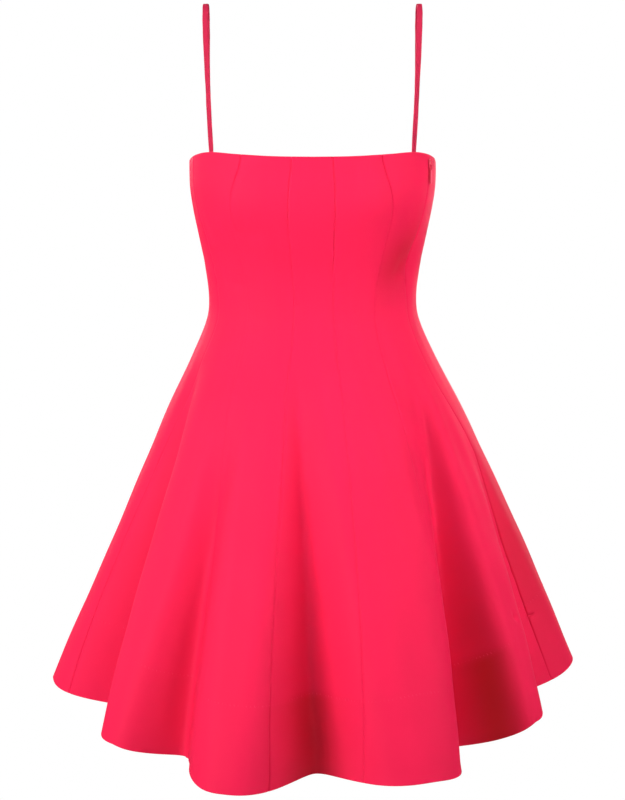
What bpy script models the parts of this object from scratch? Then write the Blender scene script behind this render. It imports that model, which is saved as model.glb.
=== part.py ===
"""A-line dress: straight neckline, two narrow shoulder straps, gores from neckline to hem, fluted skirt.

Metres, +Z up. The front faces -Y and the wearer's left is +X. The origin is midway between the tops of
the two straps, at the height of their underside, where the wearer's shoulders carry the dress.
Angles are in degrees round the vertical axis: 0 is the centre front, +90 the wearer's left side.
"""
import math
from collections import namedtuple

import bmesh
import bpy
from mathutils import Matrix, Vector

# Cloth and sewing
WALL = 0.0012            # one layer of cloth
TURNED = 0.0008          # what a turned-in edge adds inside
NECK_TURN = 0.015        # depth of the turned-in neckline
HEM_TURN = 0.085         # depth of the turned-up hem
LEDGE = 0.0005           # height over which a turned-in edge begins
PIECE_GAP = 0.0003       # air between pieces that are sewn or lie together
SEAM_HALF_GAP = 0.00017  # each gore stops this far from its seam's line

# Mesh density
EVEN_ROWS = 17           # rows of a gore between its turned edges
WIDEST_COLUMN = 3.8      # degrees from one column of a gore to the next
SHARP_ANGLE = 50.0       # degrees between faces from which an edge is drawn sharp
TAPE_COLUMNS = 4         # columns of faces across the zip's tapes
SETTLING_ROUNDS = 8      # a point's angle and height depend on each other

# Horizontal sections of the smooth form that the fold crests touch. A greater squareness is a fuller corner.
# "aside" is how far the section has swung toward +X.
Section = namedtuple("Section", "z half_width front back squareness aside")
SECTIONS = (
    Section(-0.155, 0.1377, 0.1090, 0.0990, 2.35, 0.0000),   # above the neckline
    Section(-0.175, 0.1388, 0.1110, 0.0990, 2.35, 0.0000),
    Section(-0.200, 0.1384, 0.1140, 0.0980, 2.35, 0.0000),
    Section(-0.225, 0.1350, 0.1130, 0.0960, 2.30, 0.0000),   # fullest at the bust
    Section(-0.255, 0.1290, 0.1060, 0.0920, 2.25, 0.0000),
    Section(-0.290, 0.1220, 0.0970, 0.0880, 2.20, 0.0000),
    Section(-0.325, 0.1180, 0.0930, 0.0860, 2.20, 0.0002),   # waist
    Section(-0.350, 0.1207, 0.0960, 0.0900, 2.15, 0.0005),
    Section(-0.388, 0.1364, 0.1120, 0.1080, 2.10, 0.0010),
    Section(-0.446, 0.1652, 0.1450, 0.1400, 2.05, 0.0026),   # hip
    Section(-0.504, 0.1915, 0.1760, 0.1700, 2.00, 0.0042),
    Section(-0.622, 0.2440, 0.2330, 0.2280, 2.00, 0.0054),
    Section(-0.742, 0.2965, 0.2860, 0.2820, 2.00, 0.0038),
    Section(-0.830, 0.3320, 0.3200, 0.3150, 2.00, 0.0030),   # below the hem
)

# The bust rounds out the front at each side of the centre.
BUST_ANGLE = 36.0
BUST_SPREAD = 17.0       # degrees
BUST_Z = -0.214
BUST_HEIGHT = 0.034
BUST_RISE = 0.005

# Upper edge: its height at each angle, alike on both sides.
Edge = namedtuple("Edge", "angle z")
NECKLINE = (
    Edge(0.0, -0.1662),
    Edge(22.0, -0.1656),
    Edge(42.0, -0.1635),
    Edge(57.0, -0.1620),     # the straps pull it up
    Edge(69.0, -0.1652),
    Edge(82.0, -0.1722),
    Edge(100.0, -0.1840),
    Edge(122.0, -0.1895),
    Edge(150.0, -0.1985),
    Edge(180.0, -0.2010),
)

# Skirt folds, round the body from the wearer's right. Each row is a crest and the valley after it. A fold
# turns from its hip angle to its hem angle. The valley starts at the height "start" and is "depth" deep at
# the hem. "reach" moves the crest out there, and the last two columns are the hem's height.
Fold = namedtuple("Fold", "crest crest_hip valley valley_hip depth start reach crest_hem valley_hem")
FOLDS = (
    Fold(-82.0, -86.0, -66.0, -67.0, 0.078, -0.390, 0.000, -0.764, -0.782),
    Fold(-48.5, -54.0, -37.0, -37.0, 0.062, -0.430, -0.017, -0.790, -0.806),
    Fold(-18.5, -22.0, 0.5, -8.0, 0.090, -0.390, -0.009, -0.813, -0.818),
    Fold(24.5, 18.0, 46.0, 54.0, 0.100, -0.400, -0.008, -0.804, -0.815),
    Fold(57.6, 66.0, 69.0, 76.0, 0.044, -0.500, -0.021, -0.778, -0.764),
    Fold(84.0, 90.0, 100.0, 102.0, 0.058, -0.440, 0.002, -0.743, -0.760),
    Fold(114.0, 114.0, 130.0, 129.0, 0.068, -0.430, -0.004, -0.768, -0.780),
    Fold(147.0, 147.0, 163.5, 166.0, 0.074, -0.420, -0.008, -0.780, -0.790),
    Fold(181.0, 180.0, 196.0, 193.0, 0.066, -0.440, -0.006, -0.787, -0.791),
    Fold(213.0, 213.0, 229.5, 230.0, 0.072, -0.430, -0.008, -0.782, -0.783),
    Fold(246.0, 246.0, 262.0, 262.0, 0.060, -0.450, 0.000, -0.772, -0.773),
)
FOLD_TOP = -0.400        # folds begin to turn here
FOLD_BOTTOM = -0.800     # and have their full depth here
TOP_SHARPNESS = 4.0      # above 1 the crests are broad and the valleys narrow: narrow where folds begin
HEM_SHARPNESS = 1.5
FOLD_GROWTH = 1.1        # 1 is a fold that deepens evenly all the way down

# Seams: the angle of each at the heights of SEAM_HEIGHTS.
SEAM_HEIGHTS = (-0.170, -0.235, -0.325, -0.410, -0.480, -0.600, -0.800)
Seam = namedtuple("Seam", "neck bust waist high_hip hip thigh hem")
SEAMS = {
    "side_right": Seam(-71.5, -69.0, -66.0, -68.0, -72.5, -75.5, -75.0),
    "front_outer_right": Seam(-38.5, -43.5, -43.0, -40.5, -38.5, -36.0, -31.5),
    "front_inner_right": Seam(-11.6, -13.4, -12.5, -13.4, -12.5, -11.9, -10.0),
    "front_inner_left": Seam(11.5, 12.5, 14.0, 13.3, 12.1, 11.2, 11.0),
    "front_outer_left": Seam(37.5, 42.0, 41.5, 38.8, 38.5, 36.5, 33.5),
    "side_left": Seam(68.0, 65.5, 64.0, 67.0, 74.5, 74.5, 74.0),
    "back_left": Seam(140.0, 139.0, 138.0, 138.0, 139.5, 141.5, 144.0),
    "back_right": Seam(220.0, 221.0, 222.0, 222.0, 220.5, 219.0, 217.0),
}
FULL_TURN = 360.0

# Each gore lies between two seams.
Gore = namedtuple("Gore", "first_seam last_seam")
GORES = {
    "front_side_right": Gore("side_right", "front_outer_right"),
    "front_mid_right": Gore("front_outer_right", "front_inner_right"),
    "front_center": Gore("front_inner_right", "front_inner_left"),
    "front_mid_left": Gore("front_inner_left", "front_outer_left"),
    "front_side_left": Gore("front_outer_left", "side_left"),
    "back_side_left": Gore("side_left", "back_left"),
    "back_center": Gore("back_left", "back_right"),
    "back_side_right": Gore("back_right", "side_right"),
}

# Straps: flat bands that lie in the cloth's own plane at the bodice and level on the shoulder.
STRAP_WIDTH = 0.006
STRAP_THICKNESS = 0.0016
STRAP_EDGE_SHARE = 0.7       # how much of half the thickness its rounded edges take
STRAP_TUCK = 0.013           # length caught behind the turned-in edge
STRAP_FRONT_ANGLE = 57.0
STRAP_BACK_ANGLE = 117.0
STRAP_BACK_BOW = 0.003       # how far its back half bends outward, over the shoulder blade
SHOULDER_X = 0.1188
STRAP_STEP = 0.010           # distance between the sections of a strap
LEVEL = Vector((-1.0, 0.0, 0.0))   # direction across a strap on the shoulder
StrapPoint = namedtuple("StrapPoint", "y z")
STRAP_ROUTE = (              # over the shoulder, from front to back, underside
    StrapPoint(-0.0700, -0.1150),
    StrapPoint(-0.0610, -0.0620),
    StrapPoint(-0.0420, -0.0200),
    StrapPoint(-0.0180, -0.0025),
    StrapPoint(0.0000, 0.0000),
    StrapPoint(0.0180, -0.0030),
    StrapPoint(0.0380, -0.0240),
    StrapPoint(0.0530, -0.0750),
    StrapPoint(0.0600, -0.1350),
)

# Concealed zip in the wearer's left side seam
ZIP_SEAM = "side_left"
TAPE_WIDTH = 0.024
TAPE_THICKNESS = 0.001
TAPE_BELOW_EDGE = 0.001
TAPE_LAST_ROW = 10           # the row of the gores at which the zip ends, at the high hip
SLIDER_BELOW_EDGE = 0.009    # middle of the slider below the neckline
SLIDER_WIDTH = 0.005
SLIDER_HEIGHT = 0.009
SLIDER_PLATE = 0.0012
BRIDGE_WIDTH = 0.0012
BRIDGE_BAR = 0.0008
BRIDGE_CORNER = 0.0006
BRIDGE_ROOM = 0.0022         # clear height under the bridge
BRIDGE_LENGTH = 0.0065
PULL_LENGTH = 0.021
PULL_WIDTH = 0.0050
PULL_NECK_WIDTH = 0.0042
PULL_THICKNESS = 0.0010
PULL_BAR = 0.0010            # strip of the pull that passes under the bridge
PULL_HOLE_LENGTH = 0.0056
PULL_HOLE_WIDTH = 0.0022
PULL_BEVEL = 0.00015
SLIDER_BEVEL = 0.0003
HINGE_ALONG = -0.0015        # the pull hangs at the bridge's lower end
MERGE = 0.00001

PINK = (0.95, 0.035, 0.13, 1.0)
STRAP_PINK = (0.90, 0.04, 0.13, 1.0)
TAPE_PINK = (0.80, 0.03, 0.11, 1.0)
PAINTED_PINK = (0.85, 0.03, 0.12, 1.0)


# ---------------------------------------------------------------- form of the dress
def smooth_step(t):
    """0 to 1 with level ends."""
    t = min(max(t, 0.0), 1.0)
    return t * t * (3.0 - 2.0 * t)


def smooth_curve(places, values, at):
    """Value at a place on a smooth curve through the given values."""
    count = len(places)
    if places[0] > places[-1]:
        places, values = places[::-1], values[::-1]
    k = 0
    while k < count - 2 and at > places[k + 1]:
        k += 1

    def slope(i):
        low, high = max(i - 1, 0), min(i + 1, count - 1)
        return (values[high] - values[low]) / (places[high] - places[low])

    step = places[k + 1] - places[k]
    t = min(max((at - places[k]) / step, 0.0), 1.0)
    bend = t * t * (3.0 - 2.0 * t)
    start_pull = (t - 2.0 * t * t + t ** 3) * step * slope(k)
    end_pull = (t ** 3 - t * t) * step * slope(k + 1)
    return values[k] * (1.0 - bend) + values[k + 1] * bend + start_pull + end_pull


SECTION_HEIGHTS = [section.z for section in SECTIONS]


def section_size(column, z):
    return smooth_curve(SECTION_HEIGHTS, [getattr(section, column) for section in SECTIONS], z)


def smooth_radius(angle, z):
    """Distance from the axis to the smooth form without folds."""
    side = abs(math.sin(math.radians(angle)))
    ahead = math.cos(math.radians(angle))
    power = section_size("squareness", z)
    depth = section_size("front" if ahead > 0 else "back", z)
    rim = (side / section_size("half_width", z)) ** power + (abs(ahead) / depth) ** power
    across = (abs(wrapped(angle)) - BUST_ANGLE) / BUST_SPREAD
    along = (z - BUST_Z) / BUST_HEIGHT
    return rim ** (-1.0 / power) + BUST_RISE * math.exp(-across * across - along * along)


def wrapped(angle):
    """The same angle between -180 and 180."""
    return (angle + 180.0) % FULL_TURN - 180.0


def folds_at(angle, z):
    """How far the folds move the cloth in, and the height of the hem, at an angle and a height."""
    flare = max((FOLD_TOP - z) / (FOLD_TOP - FOLD_BOTTOM), 0.0)
    turn = min(flare, 1.0)
    for k, fold in enumerate(FOLDS):
        last = k == len(FOLDS) - 1
        after = FOLDS[0] if last else FOLDS[k + 1]
        lap = FULL_TURN if last else 0.0
        crest = fold.crest_hip + (fold.crest - fold.crest_hip) * turn
        valley = fold.valley_hip + (fold.valley - fold.valley_hip) * turn
        next_crest = after.crest_hip + (after.crest - after.crest_hip) * turn + lap
        past = (angle - crest) % FULL_TURN
        if past < next_crest - crest:
            break
    before_valley = past < valley - crest
    if before_valley:
        sink = smooth_step(past / (valley - crest))
    else:
        sink = smooth_step((next_crest - crest - past) / (next_crest - valley))
    grown = max((fold.start - z) / (fold.start - FOLD_BOTTOM), 0.0) ** FOLD_GROWTH
    passed = smooth_step(past / (next_crest - crest))
    reach = (fold.reach * (1.0 - passed) + after.reach * passed) * flare ** FOLD_GROWTH
    crest_hem = fold.crest_hem if before_valley else after.crest_hem
    hem = crest_hem * (1.0 - sink) + fold.valley_hem * sink
    sharpness = TOP_SHARPNESS + (HEM_SHARPNESS - TOP_SHARPNESS) * turn
    return fold.depth * sink ** sharpness * grown - reach, hem


def neckline_z(angle):
    return smooth_curve([edge.angle for edge in NECKLINE], [edge.z for edge in NECKLINE], abs(wrapped(angle)))


def hem_z(angle):
    return folds_at(angle, FOLD_BOTTOM)[1]


def outer_point(angle, z):
    """Point of the cloth's outer face."""
    radius = smooth_radius(angle, z) - folds_at(angle, z)[0]
    turn = math.radians(angle)
    return Vector((radius * math.sin(turn) + section_size("aside", z), -radius * math.cos(turn), z))


def outward(angle, z):
    """Unit normal of the cloth, away from the body."""
    small_turn, small_rise = 0.2, 0.0005
    across = outer_point(angle + small_turn, z) - outer_point(angle - small_turn, z)
    up = outer_point(angle, z + small_rise) - outer_point(angle, z - small_rise)
    return across.cross(up).normalized()


def inside_point(angle, z, depth):
    """Point under the outer face by a depth of cloth."""
    return outer_point(angle, z) - outward(angle, z) * depth


def seam_angle(name, z):
    return smooth_curve(SEAM_HEIGHTS, list(SEAMS[name]), z)


# ---------------------------------------------------------------- mesh and material tools
def remove_everything():
    for thing in list(bpy.data.objects):
        bpy.data.objects.remove(thing)


def collection(name):
    found = bpy.data.collections.new(name)
    bpy.context.scene.collection.children.link(found)
    return found


def material(name, colour, roughness, metallic=0.0):
    made = bpy.data.materials.new(name)
    made.use_nodes = True
    shader = made.node_tree.nodes["Principled BSDF"]
    shader.inputs["Base Color"].default_value = colour
    shader.inputs["Roughness"].default_value = roughness
    shader.inputs["Metallic"].default_value = metallic
    return made


def mesh_object(name, points, faces, into, finish, smooth=True):
    mesh = bpy.data.meshes.new(name)
    mesh.from_pydata([tuple(point) for point in points], [], faces)
    mesh.materials.append(finish)
    if smooth:
        mesh.shade_smooth()
        mesh.set_sharp_from_angle(angle=math.radians(SHARP_ANGLE))
    thing = bpy.data.objects.new(name, mesh)
    into.objects.link(thing)
    return thing


def sheet_solid(name, outer, inner, into, finish):
    """Closed wall between two grids of points, rows from top to bottom, columns from right to left."""
    rows, columns = len(outer), len(outer[0])
    points = [point for row in outer for point in row] + [point for row in inner for point in row]
    under = rows * columns

    def at(row, column):
        return row * columns + column

    faces = []
    for r in range(rows - 1):
        for c in range(columns - 1):
            a, b, d, e = at(r, c), at(r, c + 1), at(r + 1, c + 1), at(r + 1, c)
            faces.append((a, e, d, b))
            faces.append((under + a, under + b, under + d, under + e))
    for r in range(rows - 1):
        first, second = at(r, 0), at(r + 1, 0)
        faces.append((first, under + first, under + second, second))
        first, second = at(r, columns - 1), at(r + 1, columns - 1)
        faces.append((first, second, under + second, under + first))
    for c in range(columns - 1):
        first, second = at(0, c), at(0, c + 1)
        faces.append((first, second, under + second, under + first))
        first, second = at(rows - 1, c), at(rows - 1, c + 1)
        faces.append((first, under + first, under + second, second))
    return mesh_object(name, points, faces, into, finish)


def loft(name, rings, into, finish):
    """Closed solid through rings of as many points each, with flat ends."""
    size = len(rings[0])
    points = [point for ring in rings for point in ring]
    faces = [tuple(reversed(range(size))), tuple(range((len(rings) - 1) * size, len(rings) * size))]
    for r in range(len(rings) - 1):
        for k in range(size):
            a, b = r * size + k, r * size + (k + 1) % size
            faces.append((a, b, b + size, a + size))
    return mesh_object(name, points, faces, into, finish)


# ---------------------------------------------------------------- gores
def cloth_rows(angle):
    """Heights of a gore's rows at one angle: its edges, where their turnings begin, and even rows between."""
    top, bottom = neckline_z(angle), hem_z(angle)
    above = [top, top - NECK_TURN, top - NECK_TURN - LEDGE]
    below = [bottom + HEM_TURN + LEDGE, bottom + HEM_TURN, bottom + HEM_TURN / 2.0, bottom]
    step = (above[-1] - below[0]) / EVEN_ROWS
    return above + [above[-1] - step * k for k in range(1, EVEN_ROWS)] + below


ROW_COUNT = len(cloth_rows(0.0))


def wall_depth(row):
    """Thickness of the wall at a row: the turned-in edges are two layers."""
    turned = row < 2 or row >= ROW_COUNT - 3
    return WALL + (TURNED if turned else 0.0)


def between_seams(first_seam, last_seam, lap, share, row):
    """Angle and height of the point that lies this share of the way from one seam to the next, on a row."""
    angle = 0.5 * (SEAMS[first_seam].hip + SEAMS[last_seam].hip + lap)
    for _ in range(SETTLING_ROUNDS):
        z = cloth_rows(angle)[row]
        start, end = seam_angle(first_seam, z), seam_angle(last_seam, z) + lap
        angle = start + (end - start) * share
    return angle, z


def length_per_degree(angle, z):
    return (outer_point(angle + 0.5, z) - outer_point(angle - 0.5, z)).length


def gore(name, into, finish):
    first_seam, last_seam = GORES[name]
    lap = FULL_TURN if SEAMS[last_seam].waist < SEAMS[first_seam].waist else 0.0
    widest = max(end + lap - start for start, end in zip(SEAMS[first_seam], SEAMS[last_seam]))
    columns = math.ceil(widest / WIDEST_COLUMN) + 1
    outer, inner = [], []
    for row in range(ROW_COUNT):
        outer.append([])
        inner.append([])
        for column in range(columns):
            angle, z = between_seams(first_seam, last_seam, lap, column / (columns - 1), row)
            if column == 0:
                angle += SEAM_HALF_GAP / length_per_degree(angle, z)
            elif column == columns - 1:
                angle -= SEAM_HALF_GAP / length_per_degree(angle, z)
            outer[-1].append(outer_point(angle, z))
            inner[-1].append(inside_point(angle, z, wall_depth(row)))
    return sheet_solid(name, outer, inner, into, finish)


# ---------------------------------------------------------------- straps
def tucked(side, angle, below_edge):
    """Centre line of a strap's end behind the turned-in edge."""
    z = neckline_z(angle) - below_edge
    return inside_point(side * angle, z, WALL + TURNED + PIECE_GAP + STRAP_THICKNESS / 2.0)


def strap_path(side):
    """Centre line of one strap: behind the front edge, over the shoulder, behind the back edge."""
    front = [tucked(side, STRAP_FRONT_ANGLE, below) for below in (STRAP_TUCK, STRAP_TUCK / 2.0, 0.0)]
    back = [tucked(side, STRAP_BACK_ANGLE, below) for below in (0.0, STRAP_TUCK / 2.0, STRAP_TUCK)]
    over = []
    for point in STRAP_ROUTE:
        edge = front[-1] if point.y < 0.0 else back[0]
        rise = (point.z - edge.z) / (0.0 - edge.z)
        bow = STRAP_BACK_BOW * math.sin(math.pi * rise) if point.y > 0.0 else 0.0
        x = edge.x + (side * SHOULDER_X - edge.x) * rise + side * bow
        over.append(Vector((x, point.y, point.z + STRAP_THICKNESS / 2.0)))
    return front + over + back


def strap_rings(side):
    """Sections of one strap, which turns from the cloth's own plane to level on the shoulder."""
    path = strap_path(side)
    lengths = [0.0]
    for start, end in zip(path, path[1:]):
        lengths.append(lengths[-1] + (end - start).length)
    total = lengths[-1]
    shoulder = lengths[min(range(len(path)), key=lambda k: abs(path[k].y))]

    def place_at(distance):
        return Vector([smooth_curve(lengths, [point[axis] for point in path], distance) for axis in range(3)])

    def in_cloth(angle):
        normal = outward(side * angle, neckline_z(angle))
        in_plane = Vector((normal.y, -normal.x, 0.0)).normalized()
        return in_plane if in_plane.dot(LEVEL) > 0.0 else -in_plane

    rings = []
    count = round(total / STRAP_STEP)
    for k in range(count + 1):
        distance = total * k / count
        nearby = STRAP_STEP / 10.0
        along = place_at(min(distance + nearby, total)) - place_at(max(distance - nearby, 0.0))
        along.normalize()
        if distance < shoulder:
            turned = smooth_step((distance - STRAP_TUCK) / (shoulder - STRAP_TUCK))
            across = in_cloth(STRAP_FRONT_ANGLE).lerp(LEVEL, turned)
        else:
            turned = smooth_step((total - STRAP_TUCK - distance) / (total - STRAP_TUCK - shoulder))
            across = in_cloth(STRAP_BACK_ANGLE).lerp(LEVEL, turned)
        across = (across - along * across.dot(along)).normalized()
        rings.append(band_section(place_at(distance), across, along.cross(across)))
    return rings


def band_section(centre, across, up):
    """Flat section with rounded edges."""
    half, thin = STRAP_WIDTH / 2.0, STRAP_THICKNESS / 2.0
    corner = thin * STRAP_EDGE_SHARE
    outline = ((half, 0.0), (half - corner, thin), (-half + corner, thin),
               (-half, 0.0), (-half + corner, -thin), (half - corner, -thin))
    return [centre + across * a + up * b for a, b in outline]


def strap(name, side, into, finish):
    return loft(name, strap_rings(side), into, finish)


# ---------------------------------------------------------------- concealed zip
def zip_tape(into, finish):
    """Both tapes of the closed zip, as one strip inside the seam that follows the gores' own rows."""
    lies_under = WALL + TURNED + PIECE_GAP
    outer, inner = [], []
    for row in range(TAPE_LAST_ROW + 1):
        outer.append([])
        inner.append([])
        middle = SEAMS[ZIP_SEAM].neck
        for _ in range(SETTLING_ROUNDS):
            z = cloth_rows(middle)[row]
            middle = seam_angle(ZIP_SEAM, z)
        half_angle = TAPE_WIDTH / 2.0 / length_per_degree(middle, z)
        for column in range(TAPE_COLUMNS + 1):
            angle = middle + half_angle * (2.0 * column / TAPE_COLUMNS - 1.0)
            z = cloth_rows(angle)[row] - (TAPE_BELOW_EDGE if row == 0 else 0.0)
            outer[-1].append(inside_point(angle, z, lies_under))
            inner[-1].append(inside_point(angle, z, lies_under + TAPE_THICKNESS))
    return sheet_solid("zip_tape", outer, inner, into, finish)


def zip_frame():
    """Place of the slider on the outermost cloth under it: X across the seam, Y up, Z away from the cloth."""
    z = neckline_z(SEAMS[ZIP_SEAM].neck) - SLIDER_BELOW_EDGE
    angle = seam_angle(ZIP_SEAM, z)
    away = outward(angle, z)
    away = Vector((away.x, away.y, 0.0)).normalized()
    up = Vector((0.0, 0.0, 1.0))
    across = up.cross(away)
    centre = outer_point(angle, z)
    reach = 0.0
    for dz in (-1.0, 0.0, 1.0):
        for da in (-1.0, 0.0, 1.0):
            near = outer_point(angle + da, z + dz * SLIDER_HEIGHT / 2.0)
            reach = max(reach, (near - centre).dot(away))
    centre += away * reach
    turn = Matrix((across, up, away)).transposed().to_4x4()
    return Matrix.Translation(centre) @ turn


def arc(x, y, radius, start, end, steps=5):
    """Points of an arc in a plate's own plane, in degrees from its X axis."""
    turns = [math.radians(start + (end - start) * k / steps) for k in range(steps + 1)]
    return [(x + radius * math.cos(turn), y + radius * math.sin(turn)) for turn in turns]


def plate(name, outlines, thickness, into):
    """Plate from closed outlines in its own XY plane. An outline inside another is a hole."""
    curve = bpy.data.curves.new(name, "CURVE")
    curve.dimensions = "2D"
    curve.fill_mode = "BOTH"
    curve.extrude = thickness / 2.0
    for outline in outlines:
        spline = curve.splines.new("POLY")
        spline.points.add(len(outline) - 1)
        for point, (x, y) in zip(spline.points, outline):
            point.co = (x, y, 0.0, 1.0)
        spline.use_cyclic_u = True
    drawn = bpy.data.objects.new(name + "_outline", curve)
    into.objects.link(drawn)
    bpy.context.view_layer.update()
    mesh = bpy.data.meshes.new_from_object(drawn.evaluated_get(bpy.context.evaluated_depsgraph_get()))
    bpy.data.objects.remove(drawn)
    shape = bmesh.new()
    shape.from_mesh(mesh)
    bmesh.ops.remove_doubles(shape, verts=shape.verts, dist=MERGE)
    shape.to_mesh(mesh)
    shape.free()
    made = bpy.data.objects.new(name, mesh)
    into.objects.link(made)
    return made


def zip_slider(parts, cutters, finish):
    """Plate on the cloth with a bridge along the zip, under which the pull turns."""
    bpy.ops.mesh.primitive_cube_add(size=1.0)
    body = bpy.context.active_object
    body.name = "zip_slider"
    body.data.transform(Matrix.Translation((0.0, 0.0, PIECE_GAP + SLIDER_PLATE / 2.0))
                        @ Matrix.Diagonal((SLIDER_WIDTH, SLIDER_HEIGHT, SLIDER_PLATE, 1.0)))
    body.data.materials.append(finish)
    for holder in list(body.users_collection):
        holder.objects.unlink(body)
    parts.objects.link(body)
    edges = body.modifiers.new("rounded_edges", "BEVEL")
    edges.width = SLIDER_BEVEL
    edges.segments = 2

    half = BRIDGE_LENGTH / 2.0
    sunk = PIECE_GAP + SLIDER_PLATE / 2.0
    under = PIECE_GAP + SLIDER_PLATE + BRIDGE_ROOM
    over = under + BRIDGE_BAR
    inner = half - BRIDGE_BAR
    outline = [(-half, sunk), (-inner, sunk), (-inner, under), (inner, under), (inner, sunk), (half, sunk)]
    outline += arc(half - BRIDGE_CORNER, over - BRIDGE_CORNER, BRIDGE_CORNER, 0.0, 90.0)
    outline += arc(-half + BRIDGE_CORNER, over - BRIDGE_CORNER, BRIDGE_CORNER, 90.0, 180.0)
    bridge = plate("zip_bridge", [outline], BRIDGE_WIDTH, cutters)
    stand_up = Matrix(((0.0, 0.0, 1.0), (1.0, 0.0, 0.0), (0.0, 1.0, 0.0))).to_4x4()
    bridge.data.transform(stand_up)
    bridge.hide_render = True
    bridge.display_type = "WIRE"
    join = body.modifiers.new("bridge", "BOOLEAN")
    join.operation = "UNION"
    join.object = bridge
    frame = zip_frame()
    body.matrix_world = frame
    bridge.matrix_world = frame
    return body


def zip_pull(parts, finish):
    """Tab that hangs from the bridge. Its object's origin is on its hinge."""
    bar = PULL_BAR / 2.0
    neck, wide, hole = PULL_NECK_WIDTH / 2.0, PULL_WIDTH / 2.0, PULL_HOLE_WIDTH / 2.0
    hole_end = -bar - PULL_HOLE_LENGTH
    outline = arc(-neck + bar, 0.0, bar, 180.0, 90.0)[::-1]
    outline += arc(0.0, -PULL_LENGTH + wide, wide, 180.0, 360.0, 10)
    outline += arc(neck - bar, 0.0, bar, 90.0, 0.0)[::-1]
    opening = [(-hole, -bar), (-hole, hole_end), (hole, hole_end), (hole, -bar)]
    pull = plate("zip_pull", [outline, opening], PULL_THICKNESS, parts)
    pull.data.materials.append(finish)
    edges = pull.modifiers.new("rounded_edges", "BEVEL")
    edges.width = PULL_BEVEL
    edges.segments = 1
    edges.limit_method = "ANGLE"
    on_hinge = Matrix.Translation((0.0, HINGE_ALONG, PIECE_GAP + SLIDER_PLATE + BRIDGE_ROOM / 2.0))
    pull.matrix_world = zip_frame() @ on_hinge
    return pull


def build_dress():
    remove_everything()
    parts = collection("a_line_dress")
    cutters = collection("cutters")
    cloth = material("sateen_hot_pink", PINK, 0.6)
    band = material("strap_satin_pink", STRAP_PINK, 0.5)
    tape = material("zip_tape_pink", TAPE_PINK, 0.7)
    painted = material("painted_zinc_pink", PAINTED_PINK, 0.35, 0.4)
    for name in GORES:
        gore(name, parts, cloth)
    strap("strap_left", 1.0, parts, band)
    strap("strap_right", -1.0, parts, band)
    zip_tape(parts, tape)
    zip_slider(parts, cutters, painted)
    zip_pull(parts, painted)


build_dress()
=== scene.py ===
"""An a-line dress as it is worn, with no wearer in it: gores, straps and a concealed side zip, in a studio.

Metres, +Z up. The front faces -Y and the wearer's left is +X. Angles are in degrees round the vertical
axis: 0 is the centre front, +90 the wearer's left side.
"""
import math
from collections import namedtuple

import bpy
import numpy as np
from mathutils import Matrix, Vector


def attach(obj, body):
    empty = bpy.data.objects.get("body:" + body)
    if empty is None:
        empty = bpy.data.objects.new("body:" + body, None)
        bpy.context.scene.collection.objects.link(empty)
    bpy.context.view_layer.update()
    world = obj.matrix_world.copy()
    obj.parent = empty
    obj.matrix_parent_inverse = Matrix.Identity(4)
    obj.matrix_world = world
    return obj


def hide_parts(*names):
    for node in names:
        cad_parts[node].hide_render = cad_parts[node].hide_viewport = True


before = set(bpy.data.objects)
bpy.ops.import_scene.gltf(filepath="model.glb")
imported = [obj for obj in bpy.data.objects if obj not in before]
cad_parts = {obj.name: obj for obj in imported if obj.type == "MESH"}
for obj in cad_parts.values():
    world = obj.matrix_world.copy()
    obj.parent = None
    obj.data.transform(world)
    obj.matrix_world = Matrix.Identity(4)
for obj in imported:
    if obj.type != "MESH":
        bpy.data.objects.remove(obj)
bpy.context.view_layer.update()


# ---------------------------------------------------------------------------------------------- gores
# Eight gores of stout cotton sateen run from the neckline to the hem, with no seam at the waist. They
# are sewn edge to edge with pressed-open seams, turned in 15 mm at the neckline and turned up 85 mm at
# the hem, where blind stitches hold the turning. The flare of the gores falls into deep flutes.

# The form without its flutes, at a few heights: half its width, its reach in front of the axis and behind,
# the power that squares it (2 is an ellipse) and how far to the wearer's left its middle lies.
Section = namedtuple("Section", "z half_width front back squareness aside")
SECTIONS = (
    Section(-0.155, 0.1377, 0.1090, 0.0990, 2.35, 0.0000),   # above the neckline
    Section(-0.175, 0.1388, 0.1110, 0.0990, 2.35, 0.0000),
    Section(-0.200, 0.1384, 0.1140, 0.0980, 2.35, 0.0000),
    Section(-0.225, 0.1350, 0.1130, 0.0960, 2.30, 0.0000),   # fullest at the bust
    Section(-0.255, 0.1290, 0.1060, 0.0920, 2.25, 0.0000),
    Section(-0.290, 0.1220, 0.0970, 0.0880, 2.20, 0.0000),
    Section(-0.325, 0.1180, 0.0930, 0.0860, 2.20, 0.0002),   # waist
    Section(-0.350, 0.1207, 0.0960, 0.0900, 2.15, 0.0005),
    Section(-0.388, 0.1364, 0.1120, 0.1080, 2.10, 0.0010),
    Section(-0.446, 0.1652, 0.1450, 0.1400, 2.05, 0.0026),   # hip
    Section(-0.504, 0.1915, 0.1760, 0.1700, 2.00, 0.0042),
    Section(-0.622, 0.2440, 0.2330, 0.2280, 2.00, 0.0054),
    Section(-0.742, 0.2965, 0.2860, 0.2820, 2.00, 0.0038),
    Section(-0.830, 0.3320, 0.3200, 0.3150, 2.00, 0.0030),   # below the hem
)

# A soft rise at both sides of the front.
BUST_ANGLE = 36.0
BUST_SPREAD = 17.0
BUST_Z = -0.214
BUST_HEIGHT = 0.034
BUST_RISE = 0.005

# Heights of the neckline from the centre front to the centre back, alike on both sides.
Edge = namedtuple("Edge", "angle z")
NECKLINE = (
    Edge(0.0, -0.1662),
    Edge(22.0, -0.1656),
    Edge(42.0, -0.1635),
    Edge(57.0, -0.1620),
    Edge(69.0, -0.1652),
    Edge(82.0, -0.1722),
    Edge(100.0, -0.1840),
    Edge(122.0, -0.1895),
    Edge(150.0, -0.1985),
    Edge(180.0, -0.2010),
)

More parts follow.
